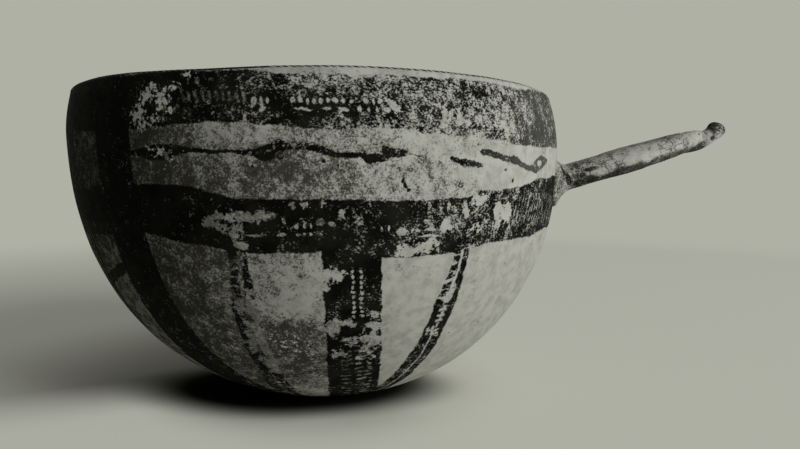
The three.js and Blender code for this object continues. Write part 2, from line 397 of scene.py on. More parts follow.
# %% Outline
# How many points each curve is drawn with, and how far apart they are in the end, in mm.
BELLY_POINTS = 200
NECK_POINTS = 40
LIP_POINTS = 40
FLAT_STEP = 2.5
OUTSIDE_STEP = 1.5
LIP_STEP = 0.6
INSIDE_STEP = 3.2


def belly(radius, depth, foot):
    """Points (radius, height) from the foot of a belly out to its widest level."""
    first = math.asin((foot / radius) ** (ROUNDNESS / 2))
    for angle in np.linspace(first, math.pi / 2, BELLY_POINTS):
        rise = depth * math.cos(angle) ** (2 / ROUNDNESS)
        yield radius * math.sin(angle) ** (2 / ROUNDNESS), WIDEST_HEIGHT - rise


def neck(radius, lip_radius):
    """Points from the widest level up to the lip, drawn in more and more."""
    for share in np.linspace(0, 1, NECK_POINTS):
        height = WIDEST_HEIGHT + share * (NECK_HEIGHT - WALL / 2)
        yield radius + (lip_radius - radius) * share**2, height


def lip():
    """Points of the half round that ends the wall."""
    for angle in np.linspace(0, math.pi, LIP_POINTS):
        out = RIM_RADIUS - WALL / 2 + WALL / 2 * math.cos(angle)
        yield out, RIM_HEIGHT - WALL / 2 + WALL / 2 * math.sin(angle)


def evenly(points, step):
    """Spaces points along a line at about this step."""
    points = np.array(list(points))
    run = np.concatenate(([0], np.cumsum(np.hypot(*np.diff(points, axis=0).T))))
    stops = np.linspace(0, run[-1], round(run[-1] / step) + 1)
    return np.column_stack([np.interp(stops, run, column) for column in points.T])


outside = [*belly(BOWL_RADIUS, OUTSIDE_DEPTH, FLAT_RADIUS), *neck(BOWL_RADIUS, RIM_RADIUS)]
inside = [*belly(BOWL_RADIUS - WALL, INSIDE_DEPTH, 0), *neck(BOWL_RADIUS - WALL, RIM_RADIUS - WALL)]
outline = np.vstack([
    evenly([(0, 0), (FLAT_RADIUS, 0)], FLAT_STEP)[:-1],
    evenly(outside, OUTSIDE_STEP)[:-1],
    evenly(lip(), LIP_STEP)[:-1],
    evenly(inside[::-1], INSIDE_STEP),
])
print(len(outline), "points on the outline, from the flat over the lip to the middle inside")

# %% Turn the bowl
COLUMNS = 480


def mesh_of_rings(name, rings):
    """A closed skin over rings of points, with a point at each end."""
    count = len(rings[1])
    points = [rings[0][0]]
    for ring in rings[1:-1]:
        points.extend(ring)
    points.append(rings[-1][0])
    last = len(points) - 1
    top = last - count
    faces = [(0, 1 + (column + 1) % count, 1 + column) for column in range(count)]
    for start in range(1, top, count):
        for column in range(count):
            after = (column + 1) % count
            faces.append((start + column, start + after, start + count + after, start + count + column))
    faces += [(top + column, top + (column + 1) % count, last) for column in range(count)]
    mesh = bpy.data.meshes.new(name)
    mesh.from_pydata([tuple(value * MM for value in point) for point in points], [], faces)
    mesh.polygons.foreach_set("use_smooth", [True] * len(mesh.polygons))
    mesh.validate()
    return mesh


slope = np.gradient(outline, axis=0)
slope /= np.hypot(*slope.T)[:, None]
run = np.concatenate(([0], np.cumsum(np.hypot(*np.diff(outline, axis=0).T))))
from_crest = run[outline[:, 1].argmax()] - run
columns = np.linspace(0, math.tau, COLUMNS, endpoint=False)
rings = []
for (radius, height), (along, up) in zip(outline, slope):
    ring = []
    for cosine, sine in zip(np.cos(columns), np.sin(columns)):
        pressed = dent(radius * cosine, radius * sine, height)
        out = radius + up * pressed
        ring.append(hand_built(out * cosine, out * sine, height - along * pressed))
    rings.append(ring)
bowl_mesh = mesh_of_rings("painted_bowl", rings)
print("bowl of", len(bowl_mesh.polygons), "faces")

# %% [markdown]
# ## Where the paint has gone
# Old paint flakes off, slip gets dirty, and lime settles on both and sets hard. The places are part of how
# this bowl looks: a white crust by the rim, a bare run along the lower band. We could paint them on an
# image, but listed places, each with its turn round the bowl, its height and its size, can be read and
# changed. They become numbers on the mesh's points, which the material turns into flakes, dirt and crust.
# The slip's darkness by turn is partly dirt and partly painted shade, darker on the side away from the lamp.
# The far side isn't in the photo, so its chips are dealt at random.

# %% Wear and painted shade by turn
# Each list holds (turn, share), with the turn in degrees from the handle towards the camera. The first three
# say how much of the paint was rubbed off in fine specks, on the upper band, the lower one and the strips.
UPPER_RUB = (
    (0, 0.3), (20, 0.3), (30, 0.3), (40, 0.35), (45, 0.55), (50, 0.5), (55, 0.55), (62, 0.45), (70, 0.39),
    (78, 0.49), (88, 0.41), (96, 0.32), (108, 0.16), (119, 0.12), (125, 0.06), (135, 0.02), (180, 0.08),
)
LOWER_RUB = (
    (0, 0.16), (20, 0.2), (30, 0.23), (38, 0.26), (43, 0.27), (50, 0.33), (58, 0.34), (62, 0.3),
    (66, 0.22), (72, 0.17), (79, 0.2), (83, 0.1), (88, 0.05), (92, 0.06), (100, 0.11), (112, 0.08),
    (120, 0.06), (180, 0.08),
)
STRIP_RUB = (
    (0, 0.1), (50, 0.15), (62, 0.15), (70, 0.04), (90, 0.04), (96, 0.3), (104, 0.3), (116, 0.16),
    (122, 0.08), (130, 0.04), (180, 0.08),
)
# How dark the slip is, on the lip, between the two bands and below them: partly dirt, and partly painted
# shade that deepens on the side turned away from the lamp.
LIP_GRIME_AND_SHADE = ((0, 0.1), (60, 0.12), (90, 0.2), (97, 0.45), (106, 0.75), (120, 0.7), (180, 0.6))
MIDDLE_GRIME_AND_SHADE = (
    (0, 0.08), (45, 0.12), (56, 0.38), (63, 0.47), (70, 0.5), (76, 0.61), (90, 0.78), (100, 0.68),
    (106, 0.85), (112, 1), (122, 0.98), (128, 0.95), (180, 0.9),
)
LOW_GRIME_AND_SHADE = (
    (0, 0.03), (44, 0.04), (66, 0.14), (72, 0.26), (84, 0.42), (92, 0.52), (98, 0.62), (101, 0.85),
    (122, 0.92), (130, 0.75), (180, 0.65),
)
print("wear listed for", len(UPPER_RUB) + len(LOWER_RUB) + len(STRIP_RUB), "turns of paint")

# %% Chips of paint
# Each place holds (turn, height, half width, half height, amount). These have lost chips of paint.
UPPER_CHIPS = (
    (77, 118.5, 12, 3, 0.3), (94, 112.5, 4, 3, 0.52), (97, 109, 3, 2, 0.5), (50, 107, 12, 5, 0.45),
    (46.5, 110, 5, 6, 0.4), (60.5, 112, 5, 3, 0.62), (70.8, 112.5, 3, 2.5, 0.8),
    (57.4, 108.5, 5, 3, 0.62),
)
CHAIN_CHIPS = (
    (75, 99.4, 3, 1.6, 0.88), (69, 98.5, 4, 1.5, 0.5), (57, 95.5, 5, 1.5, 0.45), (111, 97.5, 6, 3, 0.5),
)
LOWER_CHIPS = (
    (104.5, 77.5, 3.6, 3, 0.85), (101, 78.5, 3.4, 2.4, 0.8), (98.3, 79.4, 2.6, 2.2, 0.9),
    (95.4, 79.2, 2.8, 1.8, 0.9), (99.5, 69.6, 2.4, 1.9, 0.85), (100.3, 73.8, 2.6, 2.4, 0.75),
    (89.3, 82.6, 1.5, 1.4, 0.95), (87.2, 82.9, 1.5, 1.2, 0.9), (84.2, 83.4, 1.3, 1.6, 0.9),
    (81, 79.8, 1.7, 1.7, 0.95), (69.3, 67.6, 3.2, 1.8, 0.95), (66.2, 68.2, 3.6, 2.2, 0.95),
    (62.8, 69.3, 3.2, 2.2, 0.9), (60.5, 75.9, 2.4, 2.3, 1), (59.9, 81.9, 3, 2, 0.65),
    (56, 79.7, 3.6, 2.6, 0.65), (52, 78, 3, 3, 0.5), (52.5, 84, 5, 2.2, 0.8), (47.7, 79, 2.6, 3.8, 0.95),
    (44.4, 78.8, 3, 3.8, 0.95), (46, 73.5, 5, 2.5, 0.45), (53, 73, 5, 3, 0.5), (34, 80, 6, 3, 0.4),
    (24, 79, 4, 4, 0.35),
)
STRIP_CHIPS = (
    (82, 60.5, 3.6, 2.1, 1), (84.2, 60, 2.5, 2.6, 1), (84, 56.5, 2, 2, 0.5), (73.8, 45.9, 2.6, 1.6, 1),
    (73.6, 42, 3.4, 1.3, 1), (81, 43.5, 3, 2, 0.7), (78.5, 43, 3, 1.5, 0.6), (83, 41, 3, 3, 0.85),
    (76, 37, 5, 3, 0.6), (72.5, 36, 3, 3, 0.6), (80, 36, 3, 1.5, 0.5), (82, 31, 3, 2, 0.7),
    (73, 33, 3, 4, 0.6), (76, 28, 5, 3, 0.4), (72, 24, 4, 4, 0.3), (78, 66, 4, 2, 0.4),
    (74, 60, 1.5, 4, 0.5), (58.5, 58, 1.5, 2, 0.4), (54.4, 54.9, 2, 1.5, 0.75),
    (57, 50.4, 2.5, 2.4, 0.95), (58, 38, 3, 2, 0.8), (55.5, 35.5, 2, 2, 0.6), (100.5, 66, 3, 2, 0.5),
    (101, 60, 2, 3, 0.4), (99.5, 55, 3, 1.5, 0.3), (100.5, 49, 6, 6, 0.85), (100, 36, 6, 8, 0.9),
    (99, 25, 5, 5, 0.85), (120, 100, 3, 12, 0.4), (121, 80, 2.5, 10, 0.3), (119.5, 60, 2.5, 10, 0.35),
    (118, 45, 3, 8, 0.45),
)
print("chips listed:", sum(map(len, (UPPER_CHIPS, CHAIN_CHIPS, LOWER_CHIPS, STRIP_CHIPS))))

# %% Sound, dirty and crusted places
# The paint is sounder here than around it, so these amounts are negative.
SOUND_PLACES = (
    (86, 108, 10, 3, -0.18), (81, 112.6, 15, 2.6, -0.34), (54, 119, 10, 2.5, -0.2),
    (35, 105, 8, 3, -0.15), (18, 87, 8, 3, -0.25), (57, 43.5, 4, 3, -0.3), (57, 69, 4, 2.5, -0.35),
    (96, 120, 9, 4, -0.2),
)
# Slip that is dirtier or cleaner than the rest.
GRIME_PLACES = (
    (93, 37, 10, 5, 0.9), (88, 42, 5, 3, 0.7), (97, 33, 9, 6, 0.9), (90, 30, 7, 5, 0.6),
    (95, 22, 14, 6, 0.6), (90, 92, 9, 4, 0.35), (82, 89, 6, 3, 0.25), (62, 90, 10, 7, 0.12),
    (100, 104, 9, 2.5, -0.2), (78, 38, 9, 8, 0.55), (80, 112, 18, 6, -0.45), (94, 112, 6, 5, -0.3),
    (88, 35, 6, 2, -0.15), (47, 92, 12, 4, -0.2), (89, 29, 7, 6, 0.6), (91, 63, 12, 4, 0.28),
    (96.5, 52, 4, 13, 0.22), (88.5, 50, 9, 4.5, -0.3),
)
# White lime that settled on the clay and set hard in small lumps.
CRUST_PLACES = (
    (115.5, 118.2, 3.2, 2.6, 0.95), (116.6, 115.6, 2.4, 2.4, 0.8), (113.1, 114, 2.4, 3.2, 0.95),
    (117.7, 112.2, 2.6, 2.4, 0.9), (118.9, 110, 2.4, 2.4, 0.9), (117.4, 107, 3.4, 2, 0.95),
    (114.4, 108.6, 3, 1.6, 0.8), (111.4, 113.6, 1.8, 2.6, 0.75), (110.6, 118.4, 2.2, 1.8, 0.85),
    (113.2, 117, 1.8, 1.4, 0.6), (110.4, 110.8, 1.4, 2, 0.6), (107.8, 122, 1.8, 1.4, 0.9),
    (115.2, 99.1, 2.6, 1.8, 0.8), (113.2, 98.8, 2.6, 1.6, 0.8), (110.9, 96.9, 2, 1.6, 0.75),
    (116.8, 100.3, 1.8, 1.2, 0.6), (107.3, 99, 2, 1.2, 0.6), (101, 16.5, 3, 1, 0.8),
    (98, 13.5, 3, 0.9, 0.8), (92, 14, 2.5, 0.9, 0.8), (121, 96, 3, 3, 0.45), (112, 93, 5, 3, 0.4),
    (104, 103, 4, 2, 0.4), (94.5, 37, 9, 4, 0.58), (90, 32, 7, 3, 0.56), (86, 83, 9, 1.6, 0.5),
)
print("sound, dirty and crusted places:", len(SOUND_PLACES), len(GRIME_PLACES), len(CRUST_PLACES))

# %% Chips on the far side
FAR_CHIP_COUNT = 70
deal = random.Random(11)


def deal_chip():
    """A worn place on the far side, where turns are negative."""
    at = -deal.uniform(10, 175)
    height = deal.uniform(15, 122)
    return at, height, deal.uniform(2, 7), deal.uniform(1.5, 5), deal.uniform(0.3, 0.9)


FAR_CHIPS = [deal_chip() for _ in range(FAR_CHIP_COUNT)]
print(FAR_CHIP_COUNT, "chips dealt to the far side")

# %% From places to points
# Heights above which the wear of the upper band, of the chain and of the lower band applies.
UPPER_ZONE, CHAIN_ZONE, LOWER_ZONE = 101, 92, 66
CHAIN_RUB = 0.12
# The lip, by its distance from the crest along the wall, and how much of its paint was rubbed off.
LIP_EDGE = 2.2
LIP_RUB = 0.15
# Heights above which the dirt and painted shade of the lip and of the slip between the bands apply.
LIP_SLIP_ZONE, MIDDLE_SLIP_ZONE = 119, 76

where = np.empty(len(bowl_mesh.vertices) * 3)
bowl_mesh.vertices.foreach_get("co", where)
x, y, z = where.reshape(-1, 3).T / MM
x -= MOUTH_SHIFT * z / RIM_HEIGHT
turn = np.degrees(np.arctan2(-y, x))
radius = np.hypot(x, y)


def by_turn(points):
    """What (turn, value) points give at each point of the mesh, on both halves alike."""
    return np.interp(np.abs(turn), *zip(*points))


def add_places(field, places):
    """Adds places to a field, each fading out round its middle. A positive amount never passes 1."""
    for at, height, half_width, half_height, amount in places:
        sideways = np.radians(turn - at) * radius / half_width
        upward = (z - height) / half_height
        spread = np.exp(-0.7 * (sideways**2 + upward**2))
        field += amount * spread * (1 - field if amount > 0 else 1)
    return field


lip_run = np.concatenate(([from_crest[0]], np.repeat(from_crest[1:-1], COLUMNS), [from_crest[-1]]))
paint_rub = np.select(
    [lip_run < LIP_EDGE, z > UPPER_ZONE, z > CHAIN_ZONE, z > LOWER_ZONE],
    [LIP_RUB, by_turn(UPPER_RUB), CHAIN_RUB, by_turn(LOWER_RUB)],
    by_turn(STRIP_RUB),
)
add_places(paint_rub, SOUND_PLACES)
paint_chip = np.zeros(len(z))
for places in (UPPER_CHIPS, CHAIN_CHIPS, LOWER_CHIPS, STRIP_CHIPS, FAR_CHIPS):
    add_places(paint_chip, places)
# Painted shade and dirt: the slip darkens on the side away from the lamp, with dirtier and cleaner places.
slip_grime_and_shade = np.select(
    [z > LIP_SLIP_ZONE, z > MIDDLE_SLIP_ZONE],
    [by_turn(LIP_GRIME_AND_SHADE), by_turn(MIDDLE_GRIME_AND_SHADE)],
    by_turn(LOW_GRIME_AND_SHADE),
)
add_places(slip_grime_and_shade, GRIME_PLACES)
fields = {
    "lip_run": lip_run,
    "paint_rub": paint_rub,
    "paint_chip": paint_chip,
    "slip_grime_and_shade": slip_grime_and_shade,
    "lime_crust": add_places(np.zeros(len(z)), CRUST_PLACES),
}
for name, values in fields.items():
    field = bowl_mesh.attributes.new(name, "FLOAT", "POINT")
    field.data.foreach_set("value", values.astype(np.float32))
print("paint rubbed off on average:", round(float(paint_rub[lip_run > 0].mean()), 2))

# %% [markdown]
# ## The slip
# Slip is thin pale clay. On this bowl it is chalky, a little stained, and rubbed through to grey clay in
# small grains. An image of it would show its edges and repeat, so it is mixed from noises of several sizes.
# The bowl, its inside and the handle all wear it, so it is a node group that each material places with its
# own wear. On the bowl's outside that wear also carries painted shade, which darkens the slip as a stain
# does.

# %% Helpers for node groups
NOISE_SPREAD = 0.33


def new_group(name, inputs, outputs):
    """A shader node group. The inputs and outputs are pairs of a name and Float, Vector or Color."""
    tree = bpy.data.node_groups.new(name, "ShaderNodeTree")
    for label, kind in inputs:
        tree.interface.new_socket(label, in_out="INPUT", socket_type=f"NodeSocket{kind}")
    for label, kind in outputs:
        tree.interface.new_socket(label, in_out="OUTPUT", socket_type=f"NodeSocket{kind}")
    entry = tree.nodes.new("NodeGroupInput")
    given = [Wire(tree, entry.outputs[label]) for label, _ in inputs]
    return tree, given, tree.nodes.new("NodeGroupOutput").inputs


def use_group(tree, group, **values):
    """Places a group in a tree, with _ in a value's name standing for a space, and returns its outputs."""
    node = tree.nodes.new("ShaderNodeGroup")
    node.node_tree = group
    for label, value in values.items():
        plug(tree, value, node.inputs[label.replace("_", " ")])
    return [Wire(tree, socket) for socket in node.outputs]


def texture(place, kind, grain):
    """Places a texture with lumps or cells of about this many mm."""
    node = place.tree.nodes.new(f"ShaderNodeTex{kind}")
    plug(place.tree, place, node.inputs["Vector"])
    node.inputs["Scale"].default_value = 1 / grain
    return node


def noise_at(place, grain, detail=2.0, roughness=0.5):
    """Noise, evened out so that its values spread from 0 to 1."""
    node = texture(place, "Noise", grain)
    node.inputs["Detail"].default_value = detail
    node.inputs["Roughness"].default_value = roughness
    return (Wire(place.tree, node.outputs["Fac"]) - 0.5) / NOISE_SPREAD + 0.5


print("group helpers ready")

# %% Slip ground
SLIP = (0.612, 0.615, 0.551, 1)
# The stain's colour also stands for painted shade, where the wear carries shade.
STAIN_AND_SHADE = (0.125, 0.123, 0.098, 1)
BARE_CLAY = (0.060, 0.058, 0.046, 1)
SPECK = (0.035, 0.034, 0.027, 1)
SPECK_SPACING = 6
# Noises that the slip is mixed from: the size of their lumps in mm, their detail and their roughness.
CLOUD = (24, 3, 0.5)
BLOTCH = (9, 3, 0.6)
SMEAR = (5, 4, 0.65)
FLECK = (3.4, 4, 0.65)
GRAIN = (1.1, 4, 0.7)
DUST = (0.55, 2, 0.6)


def make_slip():
    """Slip with stains, bare grains and dark specks. The more wear, the more of it is stained and bare."""
    group, (place, wear), out = new_group(
        "slip_ground",
        [("Place", "Vector"), ("Wear", "Float")],
        [("Color", "Color"), ("Roughness", "Float"), ("Height", "Float")],
    )
    looks = (CLOUD, BLOTCH, SMEAR, FLECK, GRAIN, DUST)
    cloud, blotch, smear, fleck, grain, dust = (noise_at(place, *look) for look in looks)
    dirt = cloud * 0.2 + blotch * 0.32 + fleck * 0.5 + grain * 0.48 + dust * 0.3 - 0.4
    cut = 0.75 - wear
    stained = dirt.rise(cut + 0.02, cut + 0.68)
    bare = dirt.rise(cut + 0.5, cut + 0.85)
    smudge = (smear * 0.6 + fleck * 0.4).rise(0.2, 1) * 0.36
    spots = texture(place, "Voronoi", SPECK_SPACING)
    pick, size, _ = Wire(group, spots.outputs["Color"]).split()
    from_spot = Wire(group, spots.outputs["Distance"]) - size * 0.09
    speck = from_spot.rise(0.05, 0.02) * pick.rise(0.92, 0.95)
    colour = blend(stained.over(smudge), SLIP, STAIN_AND_SHADE)
    colour = blend(bare * 0.85, colour, BARE_CLAY)
    plug(group, blend(speck * 0.85, colour, SPECK), out["Color"])
    plug(group, 0.8 + bare * 0.12, out["Roughness"])
    pits = (bare * 0.04).over(speck * 0.06)
    plug(group, cloud * 0.05 + fleck * 0.02 + grain * 0.012 - pits, out["Height"])
    return group


slip_ground = make_slip()
print("slip ground of", len(slip_ground.nodes), "nodes")

# %% [markdown]
# ## Flakes and cracks
# Paint is rubbed off in fine specks, and it comes off in ragged chips where the wear is heavy. Noise alone
# gives blurred blots, so we cut it off at the wear: the more wear, the more of the surface lies below the
# cut. The specks use a fine noise, a little drawn out along the brush strokes, and the chips use a coarse,
# ragged one. Dried clay also has hairline cracks. Those follow the borders of random cells, shown only here
# and there.

# %% Flakes
BRUSHED = (0.85, 0.85, 1.1)
FINE_FLAKES = (0.7, 4, 0.7)
RAGGED_FLAKES = (2.6, 5, 0.62)
BROAD_FLAKES = (8, 3, 0.6)


def make_flaking():
    """Where paint is lost, to rubbing or in chips."""
    group, (place, rub, chip), out = new_group(
        "flaking", [("Place", "Vector"), ("Rub", "Float"), ("Chip", "Float")], [("Lost", "Float")]
    )
    brushed = place.into("ShaderNodeVectorMath", BRUSHED, operation="MULTIPLY")
    fine = noise_at(brushed, *FINE_FLAKES)
    ragged = noise_at(place, *RAGGED_FLAKES)
    broad = noise_at(place, *BROAD_FLAKES)
    rubbed = (fine * 0.75 + ragged * 0.5 + broad * 0.3 - 0.275 - rub).rise(0.2, -0.2)
    chipped = (ragged * 0.85 + fine * 0.3 + 0.17 - chip * 1.25).rise(0.08, -0.08)
    plug(group, rubbed.over(chipped), out["Lost"])
    return group


flaking = make_flaking()
print("flaking of", len(flaking.nodes), "nodes")

# %% Cracks
# Sizes in mm: of the cells whose borders crack, of the noise that bends them and how far it bends them.
CRACK_CELLS = 13
CRACK_NOISE = 4
CRACK_BEND = (5, 5, 5)
# The cracks' lines, in shares of a cell, and the noise that shows them only here and there.
CRACK_LINE = (0.016, 0.006)
CRACK_PATCHES = (9, 1)


def make_cracks():
    """Hairline cracks along bent cell borders, shown over about the share that the spread gives."""
    group, (place, spread), out = new_group(
        "hairline_cracks", [("Place", "Vector"), ("Spread", "Float")], [("Crack", "Float")]
    )
    warp = Wire(group, texture(place, "Noise", CRACK_NOISE).outputs["Color"])
    bent = warp.into("ShaderNodeVectorMath", CRACK_BEND, place, operation="MULTIPLY_ADD")
    borders = texture(bent, "Voronoi", CRACK_CELLS)
    borders.feature = "DISTANCE_TO_EDGE"
    line = Wire(group, borders.outputs["Distance"]).rise(*CRACK_LINE)
    shown = noise_at(place, *CRACK_PATCHES).rise(1 - spread, 1.15 - spread)
    plug(group, line * shown, out["Crack"])
    return group


hairline_cracks = make_cracks()
print("hairline cracks of", len(hairline_cracks.nodes), "nodes")

# %% [markdown]
# ## The painted bands
# Two dark bands go round the bowl, one under the lip and one below the widest level. Their edges were drawn
# by hand and wander by some millimetres. A plain stripe would look printed, so each edge is a curve through
# the heights where it was seen at each turn. Rows of small light cells were left bare inside the bands. An
# oval for every cell is more than one shader can hold, so a row is one curve too, which rises above zero at
# each cell.

# %% Edges that wander with the turn
DEGREE = math.pi / 180


def along_turn(turn, points):
    """A value that runs smoothly through (turn, value) points."""
    turns, values = zip(*points)
    low = min(values)
    span = max(values) - low
    node = turn.tree.nodes.new("ShaderNodeFloatCurve")
    node.mapping.extend = "HORIZONTAL"
    knots = node.mapping.curves[0].points
    for index, (at, value) in enumerate(points):
        spot = ((at - turns[0]) / (turns[-1] - turns[0]), (value - low) / span)
        if index < 2:
            knots[index].location = spot
        else:
            knots.new(*spot)
    for knot in knots:
        knot.handle_type = "AUTO_CLAMPED"
    node.mapping.update()
    plug(turn.tree, (turn - turns[0]) / (turns[-1] - turns[0]), node.inputs["Value"])
    return Wire(turn.tree, node.outputs[0]) * span + low


print("curves ready")

# %% Edges of the bands
UPPER_TOP = (
    (0, 122.4), (18, 122.3), (34, 121.9), (38, 120.9), (46, 121.6), (54, 122.1), (69, 122.1), (84, 121.8),
    (90, 122.1), (94, 122.9), (101, 123.4), (109, 123.5), (118, 123.2), (130, 124), (180, 124.2),
)
UPPER_LOW = (
    (0, 101.5), (18, 101.4), (36, 101.1), (47.5, 102.7), (66, 104.9), (70, 105.7), (83, 105.4),
    (93, 106.9), (108, 107.3), (120, 105.7), (130, 105.8), (144, 106.7), (180, 106),
)
LOWER_TOP = (
    (0, 91), (16, 90.8), (34, 89.4), (43, 86.9), (53, 86), (56, 84.5), (63.5, 84.1), (70, 83.7),
    (80, 84.2), (87, 84.6), (96, 84.6), (103, 86), (114, 88.9), (121, 88.9), (135, 87.5), (150, 86),
    (180, 86),
)
LOWER_LOW = (
    (0, 70.5), (22, 70.5), (34, 68.8), (43, 68.8), (54, 67.1), (65, 65.9), (73.5, 66.4), (85, 67.8),
    (98, 67.4), (103, 68.9), (114, 71.1), (118, 72.5), (135, 71), (150, 70), (180, 70),
)
print("bands:", len(UPPER_TOP) + len(UPPER_LOW) + len(LOWER_TOP) + len(LOWER_LOW), "heights on four edges")

# %% Rows of light cells
# Rows of light cells, with a turn, a half width in degrees and a half height for each, and the rows' levels.
UPPER_ROW_LEVEL = 113.8
SECOND_ROW_LEVEL = 111.3
UPPER_ROW = (
    (73.2, 0.3, 0.8), (74.4, 0.3, 0.9), (75.9, 0.4, 0.8), (78.3, 0.35, 0.6), (79.7, 0.35, 0.7),
    (81.1, 0.35, 0.8), (82.4, 0.3, 0.8), (83.5, 0.28, 0.9), (84.6, 0.28, 0.8), (85.8, 0.3, 0.9),
    (87.1, 0.32, 0.8), (88.4, 0.35, 0.9), (92.7, 0.3, 0.9), (93.8, 0.3, 1), (95, 0.35, 1.1),
)
SECOND_ROW = (
    (72.2, 0.5, 0.8), (73.9, 0.5, 0.7), (75.3, 0.5, 0.7), (76.9, 0.5, 0.7), (79.5, 0.8, 0.65),
    (82.3, 0.7, 0.45), (86.2, 1.3, 0.4),
)
LOWER_ROW = (
    (63.8, 0.9, 0.7), (66.3, 0.3, 0.5), (67.5, 0.3, 0.5), (69.7, 0.9, 1.2), (72, 0.25, 1),
    (73.5, 0.25, 0.9), (74.8, 0.6, 0.6), (82.3, 0.55, 0.9), (84.5, 0.55, 0.9), (86.2, 0.35, 0.7),
    (87.3, 0.4, 0.75), (88.6, 0.45, 0.7), (91.1, 0.55, 0.8), (92.6, 0.55, 0.9),
)
LOWER_ROW_LEVEL = (
    (60, 74.7), (67.5, 74.5), (69.7, 73.9), (72, 75), (75, 74.8), (82.3, 76.9), (84.5, 77.6),
    (86.2, 76.2), (88.6, 76.2), (91.1, 78.2), (92.6, 79.4), (95, 79.4),
)
LAST_ROW = (
    (64, 1.8, 0.35), (77.1, 0.35, 0.7), (77.9, 0.35, 0.7), (79, 0.35, 0.6), (86.3, 0.3, 0.4),
    (87.4, 0.3, 0.4), (88.5, 0.3, 0.4), (91.6, 0.9, 0.5), (94.8, 2.2, 0.35),
)
LAST_ROW_LEVEL = ((60, 72.4), (66, 72.4), (77.1, 70), (77.9, 71.1), (79, 72.6), (86, 73.8), (98, 73.4))


def row_of_cells(turn, upward, row):
    """Light cells at listed turns, from one curve that rises above zero at each of them."""
    heights = {}
    for at, half_width, half_height in row:
        heights[at - 2 * half_width] = heights[at + 2 * half_width] = -half_height
        heights[at] = half_height
    return upward.within(along_turn(turn, sorted(heights.items())), 0.2)


print("light cells:", sum(map(len, (UPPER_ROW, SECOND_ROW, LOWER_ROW, LAST_ROW))), "in four rows")

# %% Paint the bands
# How soft the edge of a brush stroke is, in mm.
BRUSH_EDGE = 0.25
# Ticks over the lip, with the run from its crest that they cover. They merge between two turns.
LIP_TICK_PITCH = 2.4
LIP_TICK_RUN = (-2.6, 1.9)
LIP_TICKS_MERGE = (92.5, 106)
# Thin slivers in the upper band, and a comb in the lower one, with their turns and levels.
SLIVER_PITCH = 2.2
SLIVER_TURNS = (96.5, 109)
COMB_PITCH = 2.1
COMB_TURNS = (24, 43)
COMB_LEVELS = (73.5, 84)


def cells(run, pitch, width):
    """Light cells in a row along a run, one to each pitch."""
    return run.swing(pitch / 2).rise(width / 2 + 0.35, width / 2 - 0.25)


def paint_bands(turn, height, lip_run, sideways_from, faint):
    """Both bands, with what was left bare in them, and the ticks over the lip."""
    run = sideways_from(0)
    top = along_turn(turn, UPPER_TOP)
    low = along_turn(turn, UPPER_LOW)
    upper = height.between(low, top, BRUSH_EDGE)
    slivers = (height - (top + low) / 2).within(1.5, 0.3) * cells(run, SLIVER_PITCH, 0.8)
    upper = upper * (1 - slivers * turn.between(*SLIVER_TURNS, 0.6) * 0.6)
    upper_row = row_of_cells(turn, height - UPPER_ROW_LEVEL, UPPER_ROW)
    second_row = row_of_cells(turn, height - SECOND_ROW_LEVEL, SECOND_ROW)
    upper = upper * (1 - upper_row.over(second_row))

    lower = height.between(along_turn(turn, LOWER_LOW), along_turn(turn, LOWER_TOP), BRUSH_EDGE)
    comb = cells(run, COMB_PITCH, 0.6) * turn.between(*COMB_TURNS, 1) * height.between(*COMB_LEVELS, 0.8)
    lower_row = row_of_cells(turn, height - along_turn(turn, LOWER_ROW_LEVEL), LOWER_ROW)
    last_row = row_of_cells(turn, height - along_turn(turn, LAST_ROW_LEVEL), LAST_ROW)
    lower = lower * (1 - (comb * faint).over(lower_row).over(last_row))

    ticks = cells(run, LIP_TICK_PITCH, 1.4).over(turn.between(*LIP_TICKS_MERGE, 0.4))
    return upper.over(lower).over(ticks * lip_run.between(*LIP_TICK_RUN, 0.2))


print("brush strokes fade over", 2 * BRUSH_EDGE, "mm at their edges")

# %% [markdown]
# ## The chain between the bands
# A thin painted line with hatched lozenges runs between the two bands. On a printed pot it would repeat,
# but here the brush rose, fell and swelled. So the line has two curves: one for its middle and one for its
# half thickness, and the lozenges are simply where it swells. Loose dabs of the brush lie beside it.

# %% Chain and dabs
CHAIN_MIDDLE = (
    (52.6, 94.8), (57.2, 95.7), (60, 97), (66.5, 97.9), (70, 98.6), (73, 98.6), (75.5, 98), (78.1, 97.6),
    (79.6, 97.6), (82.4, 98.4), (85.4, 99.8), (88.9, 100.2), (91.5, 99.3), (94, 98.2), (95.6, 98.2),
    (97.8, 98.4), (100.3, 98.9), (105, 99.1), (107.6, 99.2), (110, 99.4), (113, 98.6), (119, 98.5),
    (125, 98.5),
)
CHAIN_HALF = (
    (52, -1), (52.8, 0.6), (57, 1), (59.6, 0.8), (61, -0.7), (64.8, -0.7), (66, 0.3), (67.4, 0.1),
    (68.6, 0.5), (70, 1.2), (71.5, 1.3), (73.4, 2.9), (75.8, 2.9), (77.5, 0.7), (79, 0.85), (82, 1),
    (85, 1.2), (88.5, 1.1), (90.5, 1.9), (92.5, 2.6), (94, 2), (95.6, 1.05), (97.8, 0.65), (100, 0.5),
    (104, 0.65), (107.6, 1), (110, 1.6), (113, 2.2), (117, 1.6), (119.5, 1.1), (123, 1), (125, -1),
)
TAIL_MIDDLE = ((26, 96.4), (28.3, 96.3), (33, 94.9), (36.3, 93.7), (43, 96.4), (46, 97.2), (52.6, 98.8))
TAIL_HALF = (
    (26, -0.8), (28.3, 0.9), (30.5, 2.2), (33, 2.8), (35, 2.1), (36.8, 0.95), (43, 1.1), (46, 1), (52, 1),
    (53.4, -0.8),
)
